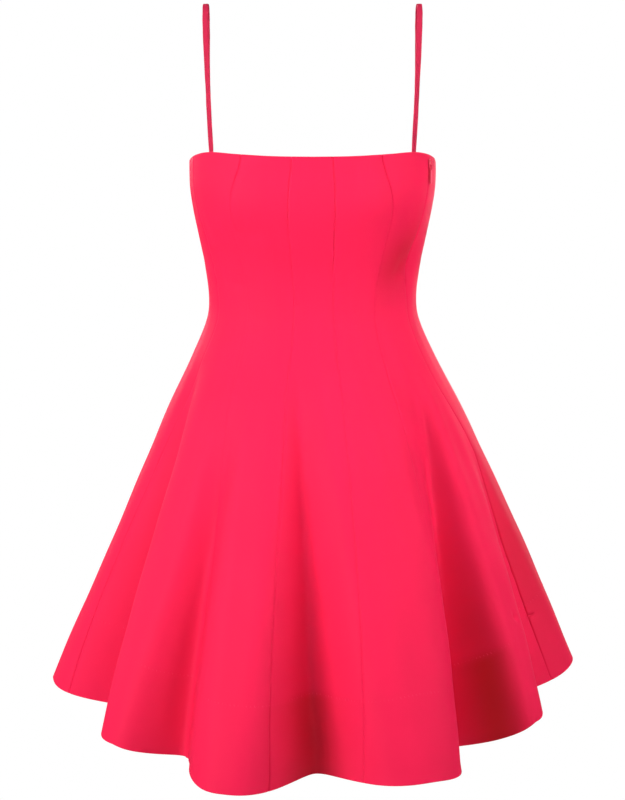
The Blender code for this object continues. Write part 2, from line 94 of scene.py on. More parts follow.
# The flutes, in order round the dress. A crest and the valley after it have an angle at the hem and one at
# the hip, and a hem height each. "depth" is how far in the valley lies at the hem, "start" the height where
# it begins, and "reach" how far the crest stands out there.
Fold = namedtuple("Fold", "crest crest_hip valley valley_hip depth start reach crest_hem valley_hem")
FOLDS = (
    Fold(-82.0, -86.0, -66.0, -67.0, 0.078, -0.390, 0.000, -0.764, -0.782),
    Fold(-48.5, -54.0, -37.0, -37.0, 0.062, -0.430, -0.017, -0.790, -0.806),
    Fold(-18.5, -22.0, 0.5, -8.0, 0.090, -0.390, -0.009, -0.813, -0.818),
    Fold(24.5, 18.0, 46.0, 54.0, 0.100, -0.400, -0.008, -0.804, -0.815),
    Fold(57.6, 66.0, 69.0, 76.0, 0.044, -0.500, -0.021, -0.778, -0.764),
    Fold(84.0, 90.0, 100.0, 102.0, 0.058, -0.440, 0.002, -0.743, -0.760),
    Fold(114.0, 114.0, 130.0, 129.0, 0.068, -0.430, -0.004, -0.768, -0.780),
    Fold(147.0, 147.0, 163.5, 166.0, 0.074, -0.420, -0.008, -0.780, -0.790),
    Fold(181.0, 180.0, 196.0, 193.0, 0.066, -0.440, -0.006, -0.787, -0.791),
    Fold(213.0, 213.0, 229.5, 230.0, 0.072, -0.430, -0.008, -0.782, -0.783),
    Fold(246.0, 246.0, 262.0, 262.0, 0.060, -0.450, 0.000, -0.772, -0.773),
)
FOLD_TOP = -0.400
FOLD_BOTTOM = -0.800
TOP_SHARPNESS = 4.0          # the valleys are narrow where they begin
HEM_SHARPNESS = 1.5
FOLD_GROWTH = 1.1
FULL_TURN = 360.0

# Painted shade in the flutes' hollows, where the only light is what the cloth throws back: the colour is
# mixed toward a dark red. "single" is how much shade is painted over one layer of cloth and "doubled"
# over the hem's two. Angles are at the hip and at the hem.
PaintedHollowShade = namedtuple("PaintedHollowShade", "angle_hip angle spread single doubled")
PAINTED_HOLLOW_SHADES = (
    PaintedHollowShade(-41.0, -39.5, 8.0, 0.10, 0.18),
    PaintedHollowShade(-12.0, 0.0, 7.0, 0.28, 0.78),
    PaintedHollowShade(55.0, 51.6, 2.6, 0.45, 1.00),
    PaintedHollowShade(129.0, 130.0, 7.0, 0.12, 0.30),
    PaintedHollowShade(166.0, 163.5, 7.0, 0.15, 0.35),
    PaintedHollowShade(193.0, 196.0, 6.0, 0.12, 0.30),
    PaintedHollowShade(230.0, 229.5, 7.0, 0.15, 0.35),
    PaintedHollowShade(262.0, 262.0, 7.0, 0.10, 0.25),
)
PAINTED_SHADE_TOP = -0.560          # the painted shade deepens from here down to the next height
PAINTED_SHADE_FULL = -0.700

# Painted shade on two gores at the wearer's left, away from the flutes, in the same deep colour: under the
# bust and behind the side seam. "tilt" is from level, anticlockwise as seen from outside, and lengths and
# widths are half sizes.
PaintedShade = namedtuple("PaintedShade", "gore angle z tilt length width depth")
PAINTED_SHADES = (
    PaintedShade("front_side_left", 58.0, -0.276, 62.0, 0.040, 0.026, 0.60),   # under the bust
    PaintedShade("back_side_left", 81.0, -0.600, 90.0, 0.120, 0.050, 0.52),    # behind the side seam
)

# Where the seams run: their angles at these heights.
SEAM_HEIGHTS = (-0.170, -0.235, -0.325, -0.410, -0.480, -0.600, -0.800)
WAIST = 2                    # the waist's place among them
SEAMS = {
    "side_right": (-71.5, -69.0, -66.0, -68.0, -72.5, -75.5, -75.0),
    "front_outer_right": (-38.5, -43.5, -43.0, -40.5, -38.5, -36.0, -31.5),
    "front_inner_right": (-11.6, -13.4, -12.5, -13.4, -12.5, -11.9, -10.0),
    "front_inner_left": (11.5, 12.5, 14.0, 13.3, 12.1, 11.2, 11.0),
    "front_outer_left": (37.5, 42.0, 41.5, 38.8, 38.5, 36.5, 33.5),
    "side_left": (68.0, 65.5, 67.0, 67.5, 74.5, 74.5, 75.2),
    "back_left": (140.0, 139.0, 138.0, 138.0, 139.5, 141.5, 144.0),
    "back_right": (220.0, 221.0, 222.0, 222.0, 220.5, 219.0, 217.0),
}

# How deep each seam's groove is pressed at the heights of SEAM_HEIGHTS. 1 is a well pressed seam. The
# wearer's left side seam is pulled in hardest, where the zip ends and the skirt hangs from it.
GROOVES = {
    "side_right": (0.8, 0.5, 0.5, 0.6, 0.8, 1.2, 1.4),
    "front_outer_right": (2.4, 0.4, 0.3, 0.3, 0.5, 0.7, 0.8),
    "front_inner_right": (1.7, 1.1, 0.8, 1.1, 1.0, 1.3, 2.4),
    "front_inner_left": (2.0, 1.7, 1.2, 1.1, 1.1, 1.4, 1.3),
    "front_outer_left": (2.4, 1.2, 0.6, 0.9, 0.7, 0.4, 0.5),
    "side_left": (1.5, 1.6, 1.2, 2.0, 2.6, 3.2, 0.8),
    "back_left": (1.3, 1.0, 0.8, 1.0, 1.0, 1.2, 1.3),
    "back_right": (1.3, 0.9, 0.9, 1.0, 1.1, 1.2, 1.3),
}

# Each gore lies between two seams. "width" is its cut at the hem, "length" down its middle and "area"
# the flat area between the seams, in metres. "column" is the spacing of its finest form at the hem.
Gore = namedtuple("Gore", "node first_seam last_seam width length area column")
GORES = (
    Gore("front_side_right", "side_right", "front_outer_right", 0.303, 0.664, 0.087, 0.0022),
    Gore("front_mid_right", "front_outer_right", "front_inner_right", 0.140, 0.696, 0.058, 0.0022),
    Gore("front_center", "front_inner_right", "front_inner_left", 0.150, 0.672, 0.059, 0.0022),
    Gore("front_mid_left", "front_inner_left", "front_outer_left", 0.140, 0.688, 0.057, 0.0022),
    Gore("front_side_left", "front_outer_left", "side_left", 0.314, 0.662, 0.087, 0.0022),
    Gore("back_side_left", "side_left", "back_left", 0.445, 0.620, 0.148, 0.0042),
    Gore("back_center", "back_left", "back_right", 0.468, 0.633, 0.162, 0.0042),
    Gore("back_side_right", "back_right", "side_right", 0.439, 0.626, 0.149, 0.0042),
)

CLOTH = 0.0007               # one layer of sateen
NECK_TURN = 0.015
NECK_THICKNESS = 0.0020      # turned-in neckline with the straps' tape
HEM_TURN = 0.085
HEM_THICKNESS = 0.0014
ALLOWANCE = 0.011            # width of a seam's pressed-open turning, inside
ALLOWANCE_THICKNESS = 0.0006
TURN_EDGE = 0.0015           # height over which a turning begins on the inner side
SEAM_OVERLAP = 0.0001        # the pieces meet in the bottom of the seam's groove
GROOVE_DEPTH = 0.0006
GROOVE_WIDTH = 0.0009
GROOVE_FLOOR = 0.0003        # cloth left under the groove
NECK_BULK = 0.00003          # how far the turned edges stand out
HEM_BULK = 0.00004
NECK_SOFTNESS = 0.004        # height over which a turned edge sinks to the single cloth
HEM_SOFTNESS = 0.005
ALLOWANCE_SOFTNESS = 0.001
SHADE_SOFTNESS = 0.014       # the same for the painted shade over the hem's two layers
SETTLING_ROUNDS = 10         # a point's angle and height depend on each other
SMALL_TURN = 0.15            # steps to both sides that find the cloth's slope
SMALL_RISE = 0.0004

# Points that round a turned edge: shares of the cloth's thickness in from its face, and of half of it out.
EDGE_ROUND = ((0.15, 0.7), (0.5, 1.0), (0.85, 0.7))

# Fine rows lie at these distances from the neckline and the hem, with more of them along the top of the
# hem's turning and round a small ledge in the side seam. Fine columns lie at these distances from a seam.
NECK_ROWS = (0.0, 0.0004, 0.001, 0.002, 0.004, 0.007, 0.011, 0.0140, 0.0147, 0.0153, 0.0160, 0.018)
HEM_ROWS = (0.0, 0.0005, 0.0014, 0.003, 0.006)
HEM_LINE_ROWS = (0.0830, 0.0843, 0.0848, 0.0852, 0.0857, 0.0870)
HEM_STEP = 0.0035
LEDGE_ROWS = (0.066, 0.068, 0.0695, 0.0704, 0.0712, 0.0719, 0.0726, 0.0733, 0.0741, 0.0752, 0.077, 0.080)
MIDDLE_ROWS = 165
SEAM_COLUMNS = (0.0, 0.00035, 0.0007, 0.0011, 0.0017, 0.0027, 0.0045, 0.0075, 0.0106, 0.0116)

# Creases and soft dents pressed in. "tilt" is from level, anticlockwise as seen from outside.
# A positive rise is a ridge. Lengths and widths are half sizes, in metres.
Crease = namedtuple("Crease", "angle z tilt length width rise")
CREASES = (
    Crease(61.5, -0.296, 58.0, 0.038, 0.020, -0.0075),       # hollow under the bust
    Crease(-60.0, -0.268, -60.0, 0.030, 0.015, -0.0016),
    Crease(75.3, -0.6832, 18.0, 0.0038, 0.0011, -0.0024),    # ledge in the side seam, in the hem
    Crease(61.6, -0.6705, -60.0, 0.0045, 0.0026, -0.0030),
    Crease(16.2, -0.3505, -32.0, 0.0050, 0.0014, -0.0010),
    Crease(-41.0, -0.2485, -32.0, 0.0080, 0.0018, -0.0014),
    Crease(-41.0, -0.2600, -6.0, 0.0060, 0.0018, -0.0011),
    Crease(-37.0, -0.2460, -12.0, 0.0150, 0.0040, -0.0006),
    Crease(-15.5, -0.2575, 4.0, 0.0045, 0.0016, -0.0010),
    Crease(-11.0, -0.3280, 10.0, 0.0060, 0.0018, -0.0010),
    Crease(10.0, -0.352, 80.0, 0.012, 0.0030, -0.0005),
    Crease(48.0, -0.300, 8.0, 0.025, 0.0060, -0.0010),
    Crease(-52.0, -0.305, -6.0, 0.028, 0.0070, -0.0009),
    Crease(150.0, -0.300, 5.0, 0.050, 0.0080, -0.0014),
    Crease(205.0, -0.312, -4.0, 0.060, 0.0080, -0.0014),
    Crease(178.0, -0.336, 2.0, 0.055, 0.0070, -0.0012),
    Crease(110.0, -0.288, -12.0, 0.035, 0.0060, -0.0010),
    Crease(252.0, -0.292, 12.0, 0.035, 0.0060, -0.0010),
)

# Ripples along the hem's edge, between two angles. "height" is how far up they reach.
HemRipple = namedtuple("HemRipple", "first_angle last_angle rise spacing height")
HEM_RIPPLES = (
    HemRipple(-38.0, -29.5, 0.00085, 0.0060, 0.008),
    HemRipple(-25.0, -14.0, 0.00025, 0.0090, 0.010),
    HemRipple(40.0, 52.0, 0.00030, 0.0085, 0.009),
    HemRipple(150.0, 166.0, 0.00045, 0.0130, 0.009),
    HemRipple(222.0, 236.0, 0.00040, 0.0140, 0.009),
)

# Puckers: short ripples across a seam, on one side of it, between two heights.
Pucker = namedtuple("Pucker", "seam side top bottom rise spacing reach")
PUCKERS = (
    Pucker("front_outer_left", -1, -0.250, -0.322, 0.00070, 0.0070, 0.006),
    Pucker("side_left", 1, -0.240, -0.330, 0.00070, 0.0170, 0.008),
    Pucker("side_left", -1, -0.560, -0.700, 0.00050, 0.0210, 0.008),
    Pucker("side_right", 1, -0.250, -0.330, 0.00040, 0.0150, 0.007),
    Pucker("back_left", -1, -0.230, -0.420, 0.00045, 0.0130, 0.007),
    Pucker("back_right", 1, -0.240, -0.400, 0.00045, 0.0145, 0.007),
)
FADE = 1.5                   # how sharply ripples and puckers end

# Both are a wave whose spacing sways, with a slower one mixed in.
MAIN_SHARE = 0.6
SWAY = 1.3
SWAY_PACE = 0.37
SLOW_PACE = 0.61
SLOW_SHIFT = 1.9

# The whole cloth is softly uneven, more so in the skirt: two waves that run round the dress and up it,
# one times the other, and a third beside them.
Wave = namedtuple("Wave", "round up shift")
UNEVEN_WAVES = (Wave(23.0, 31.0, 1.0), Wave(9.0, -47.0, 0.0), Wave(41.0, 19.0, 0.0))
THIRD_WAVE = 0.7
UNEVEN_ALL = 0.00012
UNEVEN_SKIRT = 0.00030       # added in the skirt
UNEVEN_TOP = -0.330
UNEVEN_REACH = 0.200


def smooth_step(t):
    """0 to 1 with level ends."""
    t = np.clip(t, 0.0, 1.0)
    return t * t * (3.0 - 2.0 * t)


def smooth_curve(places, values, at):
    """Values on a smooth curve through a few known ones."""
    places, values = np.array(places, float), np.array(values, float)
    if places[0] > places[-1]:
        places, values = places[::-1], values[::-1]
    low = np.maximum(np.arange(len(places)) - 1, 0)
    high = np.minimum(np.arange(len(places)) + 1, len(places) - 1)
    slopes = (values[high] - values[low]) / (places[high] - places[low])
    k = np.clip(np.searchsorted(places, at) - 1, 0, len(places) - 2)
    step = places[k + 1] - places[k]
    t = np.clip((at - places[k]) / step, 0.0, 1.0)
    bend = t * t * (3.0 - 2.0 * t)
    start_pull = (t - 2.0 * t * t + t ** 3) * step * slopes[k]
    end_pull = (t ** 3 - t * t) * step * slopes[k + 1]
    return values[k] * (1.0 - bend) + values[k + 1] * bend + start_pull + end_pull


def section_size(column, z):
    """A size of the sections at any height."""
    sizes = [getattr(section, column) for section in SECTIONS]
    return smooth_curve([section.z for section in SECTIONS], sizes, z)


def wrapped(angle):
    """The same angle between -180 and 180."""
    return (angle + 180.0) % FULL_TURN - 180.0


def smooth_radius(angle, z):
    """Distance from the axis to the form without folds."""
    side = np.abs(np.sin(np.radians(angle)))
    ahead = np.cos(np.radians(angle))
    power = section_size("squareness", z)
    depth = np.where(ahead > 0, section_size("front", z), section_size("back", z))
    rim = (side / section_size("half_width", z)) ** power + (np.abs(ahead) / depth) ** power
    across = (np.abs(wrapped(angle)) - BUST_ANGLE) / BUST_SPREAD
    along = (z - BUST_Z) / BUST_HEIGHT
    return rim ** (-1.0 / power) + BUST_RISE * np.exp(-across * across - along * along)


def folds_at(angle, z):
    """How far the flutes move the cloth in, and the height of the hem, at each angle and height."""
    flare = np.maximum((FOLD_TOP - z) / (FOLD_TOP - FOLD_BOTTOM), 0.0)
    turn = np.minimum(flare, 1.0)
    inward = np.zeros(np.broadcast(angle, z).shape)
    hem = np.zeros_like(inward)
    found = np.zeros_like(inward, bool)
    for k, fold in enumerate(FOLDS):
        after = FOLDS[(k + 1) % len(FOLDS)]
        lap = FULL_TURN if k == len(FOLDS) - 1 else 0.0
        crest = fold.crest_hip + (fold.crest - fold.crest_hip) * turn
        valley = fold.valley_hip + (fold.valley - fold.valley_hip) * turn - crest
        next_crest = after.crest_hip + (after.crest - after.crest_hip) * turn + lap - crest
        past = (angle - crest) % FULL_TURN
        here = (past < next_crest) & ~found
        found |= here
        falling = past < valley
        sink = smooth_step(np.where(falling, past / valley, (next_crest - past) / (next_crest - valley)))
        grown = np.maximum((fold.start - z) / (fold.start - FOLD_BOTTOM), 0.0) ** FOLD_GROWTH
        passed = smooth_step(past / next_crest)
        reach = (fold.reach * (1.0 - passed) + after.reach * passed) * flare ** FOLD_GROWTH
        crest_hem = np.where(falling, fold.crest_hem, after.crest_hem)
        sharpness = TOP_SHARPNESS + (HEM_SHARPNESS - TOP_SHARPNESS) * turn
        inward = np.where(here, fold.depth * sink ** sharpness * grown - reach, inward)
        hem = np.where(here, crest_hem * (1.0 - sink) + fold.valley_hem * sink, hem)
    return inward, hem


def neckline_z(angle):
    """Height of the neckline, which is alike on both sides."""
    edge_angles, edge_heights = zip(*NECKLINE)
    return smooth_curve(edge_angles, edge_heights, np.abs(wrapped(angle)))


def hem_z(angle):
    """Height of the hem."""
    return folds_at(angle, FOLD_BOTTOM)[1]


def outer_point(angle, z):
    """Points of the outer face of the smooth cloth."""
    radius = smooth_radius(angle, z) - folds_at(angle, z)[0]
    turn = np.radians(angle)
    return np.stack((radius * np.sin(turn) + section_size("aside", z), -radius * np.cos(turn),
                     np.broadcast_to(z, radius.shape)), axis=-1)


def outward(angle, z):
    """Unit normals of the smooth cloth, away from the body."""
    across = outer_point(angle + SMALL_TURN, z) - outer_point(angle - SMALL_TURN, z)
    up = outer_point(angle, z + SMALL_RISE) - outer_point(angle, z - SMALL_RISE)
    normal = np.cross(across, up)
    return normal / np.linalg.norm(normal, axis=-1, keepdims=True)


def seam_angle(name, z):
    """Where a seam runs at any height."""
    return smooth_curve(SEAM_HEIGHTS, SEAMS[name], z)


def length_per_degree(angle, z):
    """Length of cloth that a degree takes up."""
    return np.linalg.norm(outer_point(angle + 0.5, z) - outer_point(angle - 0.5, z), axis=-1)


def heights(angle):
    """Heights of a gore's rows at each angle, from the neckline to the hem."""
    top, bottom = neckline_z(angle), hem_z(angle)
    neck = [top - distance for distance in NECK_ROWS]
    hem_even = np.arange(HEM_ROWS[-1] + HEM_STEP, LEDGE_ROWS[0], HEM_STEP)
    hem = [bottom + distance for distance in (*HEM_ROWS, *hem_even, *LEDGE_ROWS, *HEM_LINE_ROWS)][::-1]
    step = (neck[-1] - hem[0]) / MIDDLE_ROWS
    middle = [neck[-1] - step * k for k in range(1, MIDDLE_ROWS)]
    return np.stack(neck + middle + hem)


def on_seam(name, lap):
    """Angle and height of a seam's points on each row."""
    angle = np.full(len(heights(np.zeros(1))), SEAMS[name][-1] + lap)
    rows = np.arange(len(angle))
    for _ in range(SETTLING_ROUNDS):
        z = heights(angle)[rows, rows]
        angle = seam_angle(name, z) + lap
    return angle, z


def gore_places(gore):
    """Angle, height and the distances from both seams of a gore's points, rows by columns."""
    lap = FULL_TURN if SEAMS[gore.last_seam][WAIST] < SEAMS[gore.first_seam][WAIST] else 0.0
    first_angle, first_z = on_seam(gore.first_seam, 0.0)
    last_angle, last_z = on_seam(gore.last_seam, lap)
    span = last_angle - first_angle
    near = np.array(SEAM_COLUMNS) - SEAM_OVERLAP
    first_near = near[None] / (length_per_degree(first_angle, first_z) * span)[:, None]
    last_near = 1.0 - near[None, ::-1] / (length_per_degree(last_angle, last_z) * span)[:, None]
    count = round(gore.width / gore.column)
    even = np.linspace(0.0, 1.0, count + 1)[None, 1:-1]
    even = first_near[:, -1:] + (last_near[:, :1] - first_near[:, -1:]) * even
    share = np.concatenate((first_near, even, last_near), axis=1)
    angle = first_angle[:, None] + span[:, None] * share
    rows = np.arange(len(angle))
    for _ in range(SETTLING_ROUNDS):
        z = np.stack([heights(angle[:, c])[rows, rows] for c in range(share.shape[1])], axis=1)
        start, end = seam_angle(gore.first_seam, z), seam_angle(gore.last_seam, z) + lap
        angle = start + (end - start) * share
    width = (end - start) * length_per_degree(angle, z)
    return angle, z, share * width, (1.0 - share) * width


def ripple(place, spacing):
    """Uneven waves from -1 to 1."""
    turn = 2.0 * np.pi * place / spacing
    main = np.sin(turn + SWAY * np.sin(turn * SWAY_PACE))
    return MAIN_SHARE * main + (1.0 - MAIN_SHARE) * np.sin(turn * SLOW_PACE + SLOW_SHIFT)


def faded(distance, half):
    """1 round the middle of a stretch, 0 at its ends."""
    return smooth_step(FADE - FADE * np.abs(distance) / half)


def turned_share(distance, turn, softness):
    """1 on a turned edge, 0 on the single cloth past it."""
    return smooth_step((turn - distance) / softness + 0.5)


def groove(gore, z, from_first, from_last):
    """How deep the seams' grooves are."""
    depth = np.zeros_like(z)
    for seam, distance in ((gore.first_seam, from_first), (gore.last_seam, from_last)):
        pressed = GROOVE_DEPTH * smooth_curve(SEAM_HEIGHTS, GROOVES[seam], z)
        depth = depth + pressed * np.exp(-(distance / GROOVE_WIDTH) ** 2)
    return depth


def mark_share(mark, angle, z, radius):
    """1 in the middle of a crease or a shade, fading to 0 round it."""
    across = np.radians(wrapped(angle - mark.angle)) * radius
    up = z - mark.z
    lean = math.radians(mark.tilt)
    along = across * math.cos(lean) + up * math.sin(lean)
    beside = up * math.cos(lean) - across * math.sin(lean)
    return np.exp(-(along / mark.length) ** 2 - (beside / mark.width) ** 2)


def soft_form(angle, z):
    """How far the cloth stands out of its smooth form: turned edges, creases and soft unevenness."""
    above_hem = z - hem_z(angle)
    radius = np.hypot(*np.moveaxis(outer_point(angle, z)[..., :2], -1, 0))
    rise = NECK_BULK * turned_share(neckline_z(angle) - z, NECK_TURN, NECK_SOFTNESS)
    rise = rise + HEM_BULK * turned_share(above_hem, HEM_TURN, HEM_SOFTNESS)
    for wave in HEM_RIPPLES:
        middle, half = (wave.first_angle + wave.last_angle) / 2.0, (wave.last_angle - wave.first_angle) / 2.0
        waves = faded(wrapped(angle - middle), half) * ripple(np.radians(angle) * radius, wave.spacing)
        rise = rise + wave.rise * waves * np.exp(-(above_hem / wave.height) ** 2)
    for crease in CREASES:
        rise = rise + crease.rise * mark_share(crease, angle, z, radius)
    turn = np.radians(angle)
    first, second, third = (np.sin(turn * wave.round + z * wave.up + wave.shift) for wave in UNEVEN_WAVES)
    fullness = smooth_step((UNEVEN_TOP - z) / UNEVEN_REACH)
    return rise + (first * second + THIRD_WAVE * third) * (UNEVEN_ALL + UNEVEN_SKIRT * fullness)


def painted_shade_depth(gore, angle, z):
    """How much shade is painted into the cloth's colour in the hollows and the two shaded patches, from 0 to
    1.
    """
    turn = np.clip((FOLD_TOP - z) / (FOLD_TOP - FOLD_BOTTOM), 0.0, 1.0)
    grown = smooth_step((PAINTED_SHADE_TOP - z) / (PAINTED_SHADE_TOP - PAINTED_SHADE_FULL))
    layers = turned_share(z - hem_z(angle), HEM_TURN, SHADE_SOFTNESS)
    depth = np.zeros_like(z)
    for painted_shade in PAINTED_HOLLOW_SHADES:
        middle = painted_shade.angle_hip + (painted_shade.angle - painted_shade.angle_hip) * turn
        within = np.exp(-(wrapped(angle - middle) / painted_shade.spread) ** 2)
        depth = depth + grown * within * (painted_shade.single + (painted_shade.doubled - painted_shade.single) * layers)
    for shade in PAINTED_SHADES:
        if gore.node == shade.gore:
            depth = depth + shade.depth * mark_share(shade, angle, z, smooth_radius(angle, z))
    return depth


def puckered(gore, z, from_first, from_last):
    """How far the puckers beside a gore's seams stand out."""
    rise = np.zeros_like(z)
    for pucker in PUCKERS:
        if pucker.seam == gore.first_seam and pucker.side > 0:
            distance = from_first
        elif pucker.seam == gore.last_seam and pucker.side < 0:
            distance = from_last
        else:
            continue
        middle, half = (pucker.top + pucker.bottom) / 2.0, (pucker.top - pucker.bottom) / 2.0
        waves = faded(z - middle, half) * ripple(z, pucker.spacing)
        rise = rise + pucker.rise * waves * np.exp(-(distance / pucker.reach) ** 2)
    return rise


def node_input(node, name):
    """The input that is switched on, of those with this name or number."""
    if isinstance(name, int):
        return node.inputs[name]
    return next(socket for socket in node.inputs if socket.name == name and socket.enabled)


def add_node(tree, kind, settings=None, links=None):
    """Adds a node to a tree with its settings, and its inputs' values or the outputs that feed them."""
    node = tree.nodes.new(kind)
    for name, value in (settings or {}).items():
        setattr(node, name, value)
    for name, value in (links or {}).items():
        socket = node_input(node, name)
        if isinstance(value, bpy.types.NodeSocket):
            tree.links.new(value, socket)
        else:
            socket.default_value = value
    return node


def linear(hex_colour, alpha=1.0):
    """An sRGB hex colour as linear values."""
    channels = [int(hex_colour[k:k + 2], 16) / 255.0 for k in (1, 3, 5)]
    return (*[c / 12.92 if c <= 0.04045 else ((c + 0.055) / 1.055) ** 2.4 for c in channels], alpha)


def new_object(name, data):
    """An object at the origin that shows in the scene."""
    made = bpy.data.objects.new(name, data)
    bpy.context.scene.collection.objects.link(made)
    return made


def new_finish(name, roughness, gloss):
    """A material, its node tree and its shader, which has this roughness and specular level."""
    finish = bpy.data.materials.new(name)
    finish.use_nodes = True
    shader = finish.node_tree.nodes["Principled BSDF"]
    shader.inputs["Roughness"].default_value = roughness
    shader.inputs["Specular IOR Level"].default_value = gloss
    return finish, finish.node_tree, shader


# Reactive-dyed cotton sateen, a warp-faced weave calendered smooth: an even, strong pink with a soft
# sheen and next to no gloss. Shade is painted into its colour in the flutes' hollows, most over the hem's
# two layers, and on two patches at the wearer's left. Threads are 0.25 mm apart, drawn at 0.5 mm so that
# they show close by.
THREAD = 0.0005
BAND = 0.314                 # a Wave texture of this scale has one band a metre
PAIR_BAND = 0.16             # and one of this scale about one band for two metres
TONES = 14.0                 # soft changes of tone in a metre of cloth
SLUBS = 900.0                # thick places of the yarn in a metre
sateen, tree, shader = new_finish("cotton_sateen_pink_with_painted_shade", 0.62, 0.06)
place = add_node(tree, "ShaderNodeTexCoord")
grain = add_node(tree, "ShaderNodeUVMap", {"uv_map": "grain"})
tone = add_node(tree, "ShaderNodeTexNoise", None, {
    "Vector": place.outputs["Object"], "Scale": TONES, "Detail": 3.0})
dye = add_node(tree, "ShaderNodeMix", {"data_type": "RGBA"}, {
    0: tone.outputs["Fac"], "A": linear("#DC1C46"), "B": linear("#E41F4B")})
# Painted shade: the dye is mixed toward a dark red by the shade attribute that the gores carry, in place of
# the shade in the flutes' hollows and in two patches.
painted_shade = add_node(tree, "ShaderNodeAttribute", {"attribute_name": "painted_shade"})
shaded_dye = add_node(tree, "ShaderNodeMix", {"data_type": "RGBA"}, {
    0: painted_shade.outputs["Fac"], "A": dye.outputs["Result"], "B": linear("#B81C28")})
tree.links.new(shaded_dye.outputs["Result"], shader.inputs["Base Color"])
warp = add_node(tree, "ShaderNodeTexWave", {"bands_direction": "X"}, {
    "Vector": grain.outputs["UV"], "Scale": BAND / THREAD, "Distortion": 1.0, "Detail": 1.0})
weft = add_node(tree, "ShaderNodeTexWave", {"bands_direction": "Y"}, {
    "Vector": grain.outputs["UV"], "Scale": PAIR_BAND / THREAD, "Distortion": 1.5, "Detail": 1.0})
weave = add_node(tree, "ShaderNodeMath", {"operation": "MULTIPLY_ADD"}, {
    0: weft.outputs["Fac"], 1: 0.5, 2: warp.outputs["Fac"]})
slub = add_node(tree, "ShaderNodeTexNoise", None, {
    "Vector": grain.outputs["UV"], "Scale": SLUBS, "Detail": 4.0})
height = add_node(tree, "ShaderNodeMath", {"operation": "MULTIPLY_ADD"}, {
    0: slub.outputs["Fac"], 1: 1.2, 2: weave.outputs["Value"]})
bump = add_node(tree, "ShaderNodeBump", None, {
    "Strength": 0.12, "Distance": 0.0002, "Height": height.outputs["Value"]})
tree.links.new(bump.outputs["Normal"], shader.inputs["Normal"])


def new_piece(name, points, faces, finish, uv=None):
    """A smooth-shaded mesh object whose points lie where the dress has them."""
    mesh = bpy.data.meshes.new(name)
    mesh.from_pydata(np.asarray(points).tolist(), [], faces)
    if uv is not None:
        corners = np.empty(len(mesh.loops), np.int32)
        mesh.loops.foreach_get("vertex_index", corners)
        mesh.uv_layers.new(name="grain").data.foreach_set("uv", uv[corners].astype(np.float32).ravel())
    mesh.materials.append(finish)
    mesh.shade_smooth()
    return new_object(name, mesh)


def gore_shell(gore):
    """Closed thin shell of one gore, with its turned edges rounded."""
    angle, z, from_first, from_last = gore_places(gore)
    normal = outward(angle, z)
    below_neck, above_hem = neckline_z(angle) - z, z - hem_z(angle)
    in_allowance = turned_share(np.minimum(from_first, from_last), ALLOWANCE, ALLOWANCE_SOFTNESS)
    in_neck = turned_share(below_neck, NECK_TURN, TURN_EDGE)
    in_hem = turned_share(above_hem, HEM_TURN, TURN_EDGE)
    thick = CLOTH + ALLOWANCE_THICKNESS * in_allowance
    thick = np.maximum(thick, CLOTH + (NECK_THICKNESS - CLOTH) * in_neck)
    thick = np.maximum(thick, CLOTH + (HEM_THICKNESS - CLOTH) * in_hem)
    sunk = groove(gore, z, from_first, from_last)
    rise = soft_form(angle, z) + puckered(gore, z, from_first, from_last)
    face = outer_point(angle, z) + normal * rise[..., None]
    outer = face - normal * sunk[..., None]
    inner = face - normal * np.maximum(thick, sunk + GROOVE_FLOOR)[..., None]

    def rounded(edge, before):
        """Points that round a turned edge, from the outer face to the inner one."""
        run = outer[edge] - outer[before]
        run = run / np.linalg.norm(run, axis=-1, keepdims=True)
        depth = normal[edge] * thick[edge][:, None]
        reach = run * (thick[edge] / 2.0)[:, None]
        return [outer[edge] - depth * share + reach * out for share, out in EDGE_ROUND]

    neck = rounded(0, 1)[::-1]
    hem = rounded(-1, -2)
    ring = np.concatenate((neck, outer, hem, inner[::-1]), axis=0)   # around the cloth's section, by column
    around, columns = ring.shape[:2]
    rows, rounding = len(outer), len(EDGE_ROUND)
    index = np.arange(around * columns).reshape(around, columns)
    after = np.roll(index, -1, axis=0)
    faces = np.stack((index[:, :-1], after[:, :-1], after[:, 1:], index[:, 1:]), axis=-1)
    faces = faces.reshape(-1, 4).tolist()
    outside = np.arange(rows) + rounding
    inside = around - 1 - np.arange(rows)
    for column, turned in ((0, False), (columns - 1, True)):
        caps = [[outside[r], inside[r], inside[r + 1], outside[r + 1]] for r in range(rows - 1)]
        caps.append([inside[0], outside[0], *range(rounding)[::-1]])
        caps.append([outside[-1], inside[-1], *range(rows + rounding, rows + 2 * rounding)[::-1]])
        for cap in caps:
            cap = [int(index[k, column]) for k in cap]
            faces.append(cap[::-1] if turned else cap)

    def all_round(values, edges):
        """A face's values for the whole ring of points, with those of "edges" on the turned edges."""
        top, bottom = edges[:1].repeat(rounding, 0), edges[-1:].repeat(rounding, 0)
        return np.concatenate((top, values, bottom, values[::-1]))

    grain_down = all_round(below_neck, np.zeros_like(z))   # the grain starts again on each turned edge
    uv = np.stack((all_round(from_first, from_first), grain_down), axis=-1).reshape(-1, 2)
    shell = new_piece(gore.node + "_cloth", ring.reshape(-1, 3), faces, sateen, uv)
    # Each point's painted shade goes to the material as an attribute.
    depth = painted_shade_depth(gore, angle, z)
    depth = all_round(depth, depth)
    shell.data.attributes.new("painted_shade", "FLOAT", "POINT").data.foreach_set("value", depth.ravel())
    return shell


for gore in GORES:
    piece = gore_shell(gore)
    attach(piece, "dress")
    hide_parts(gore.node)


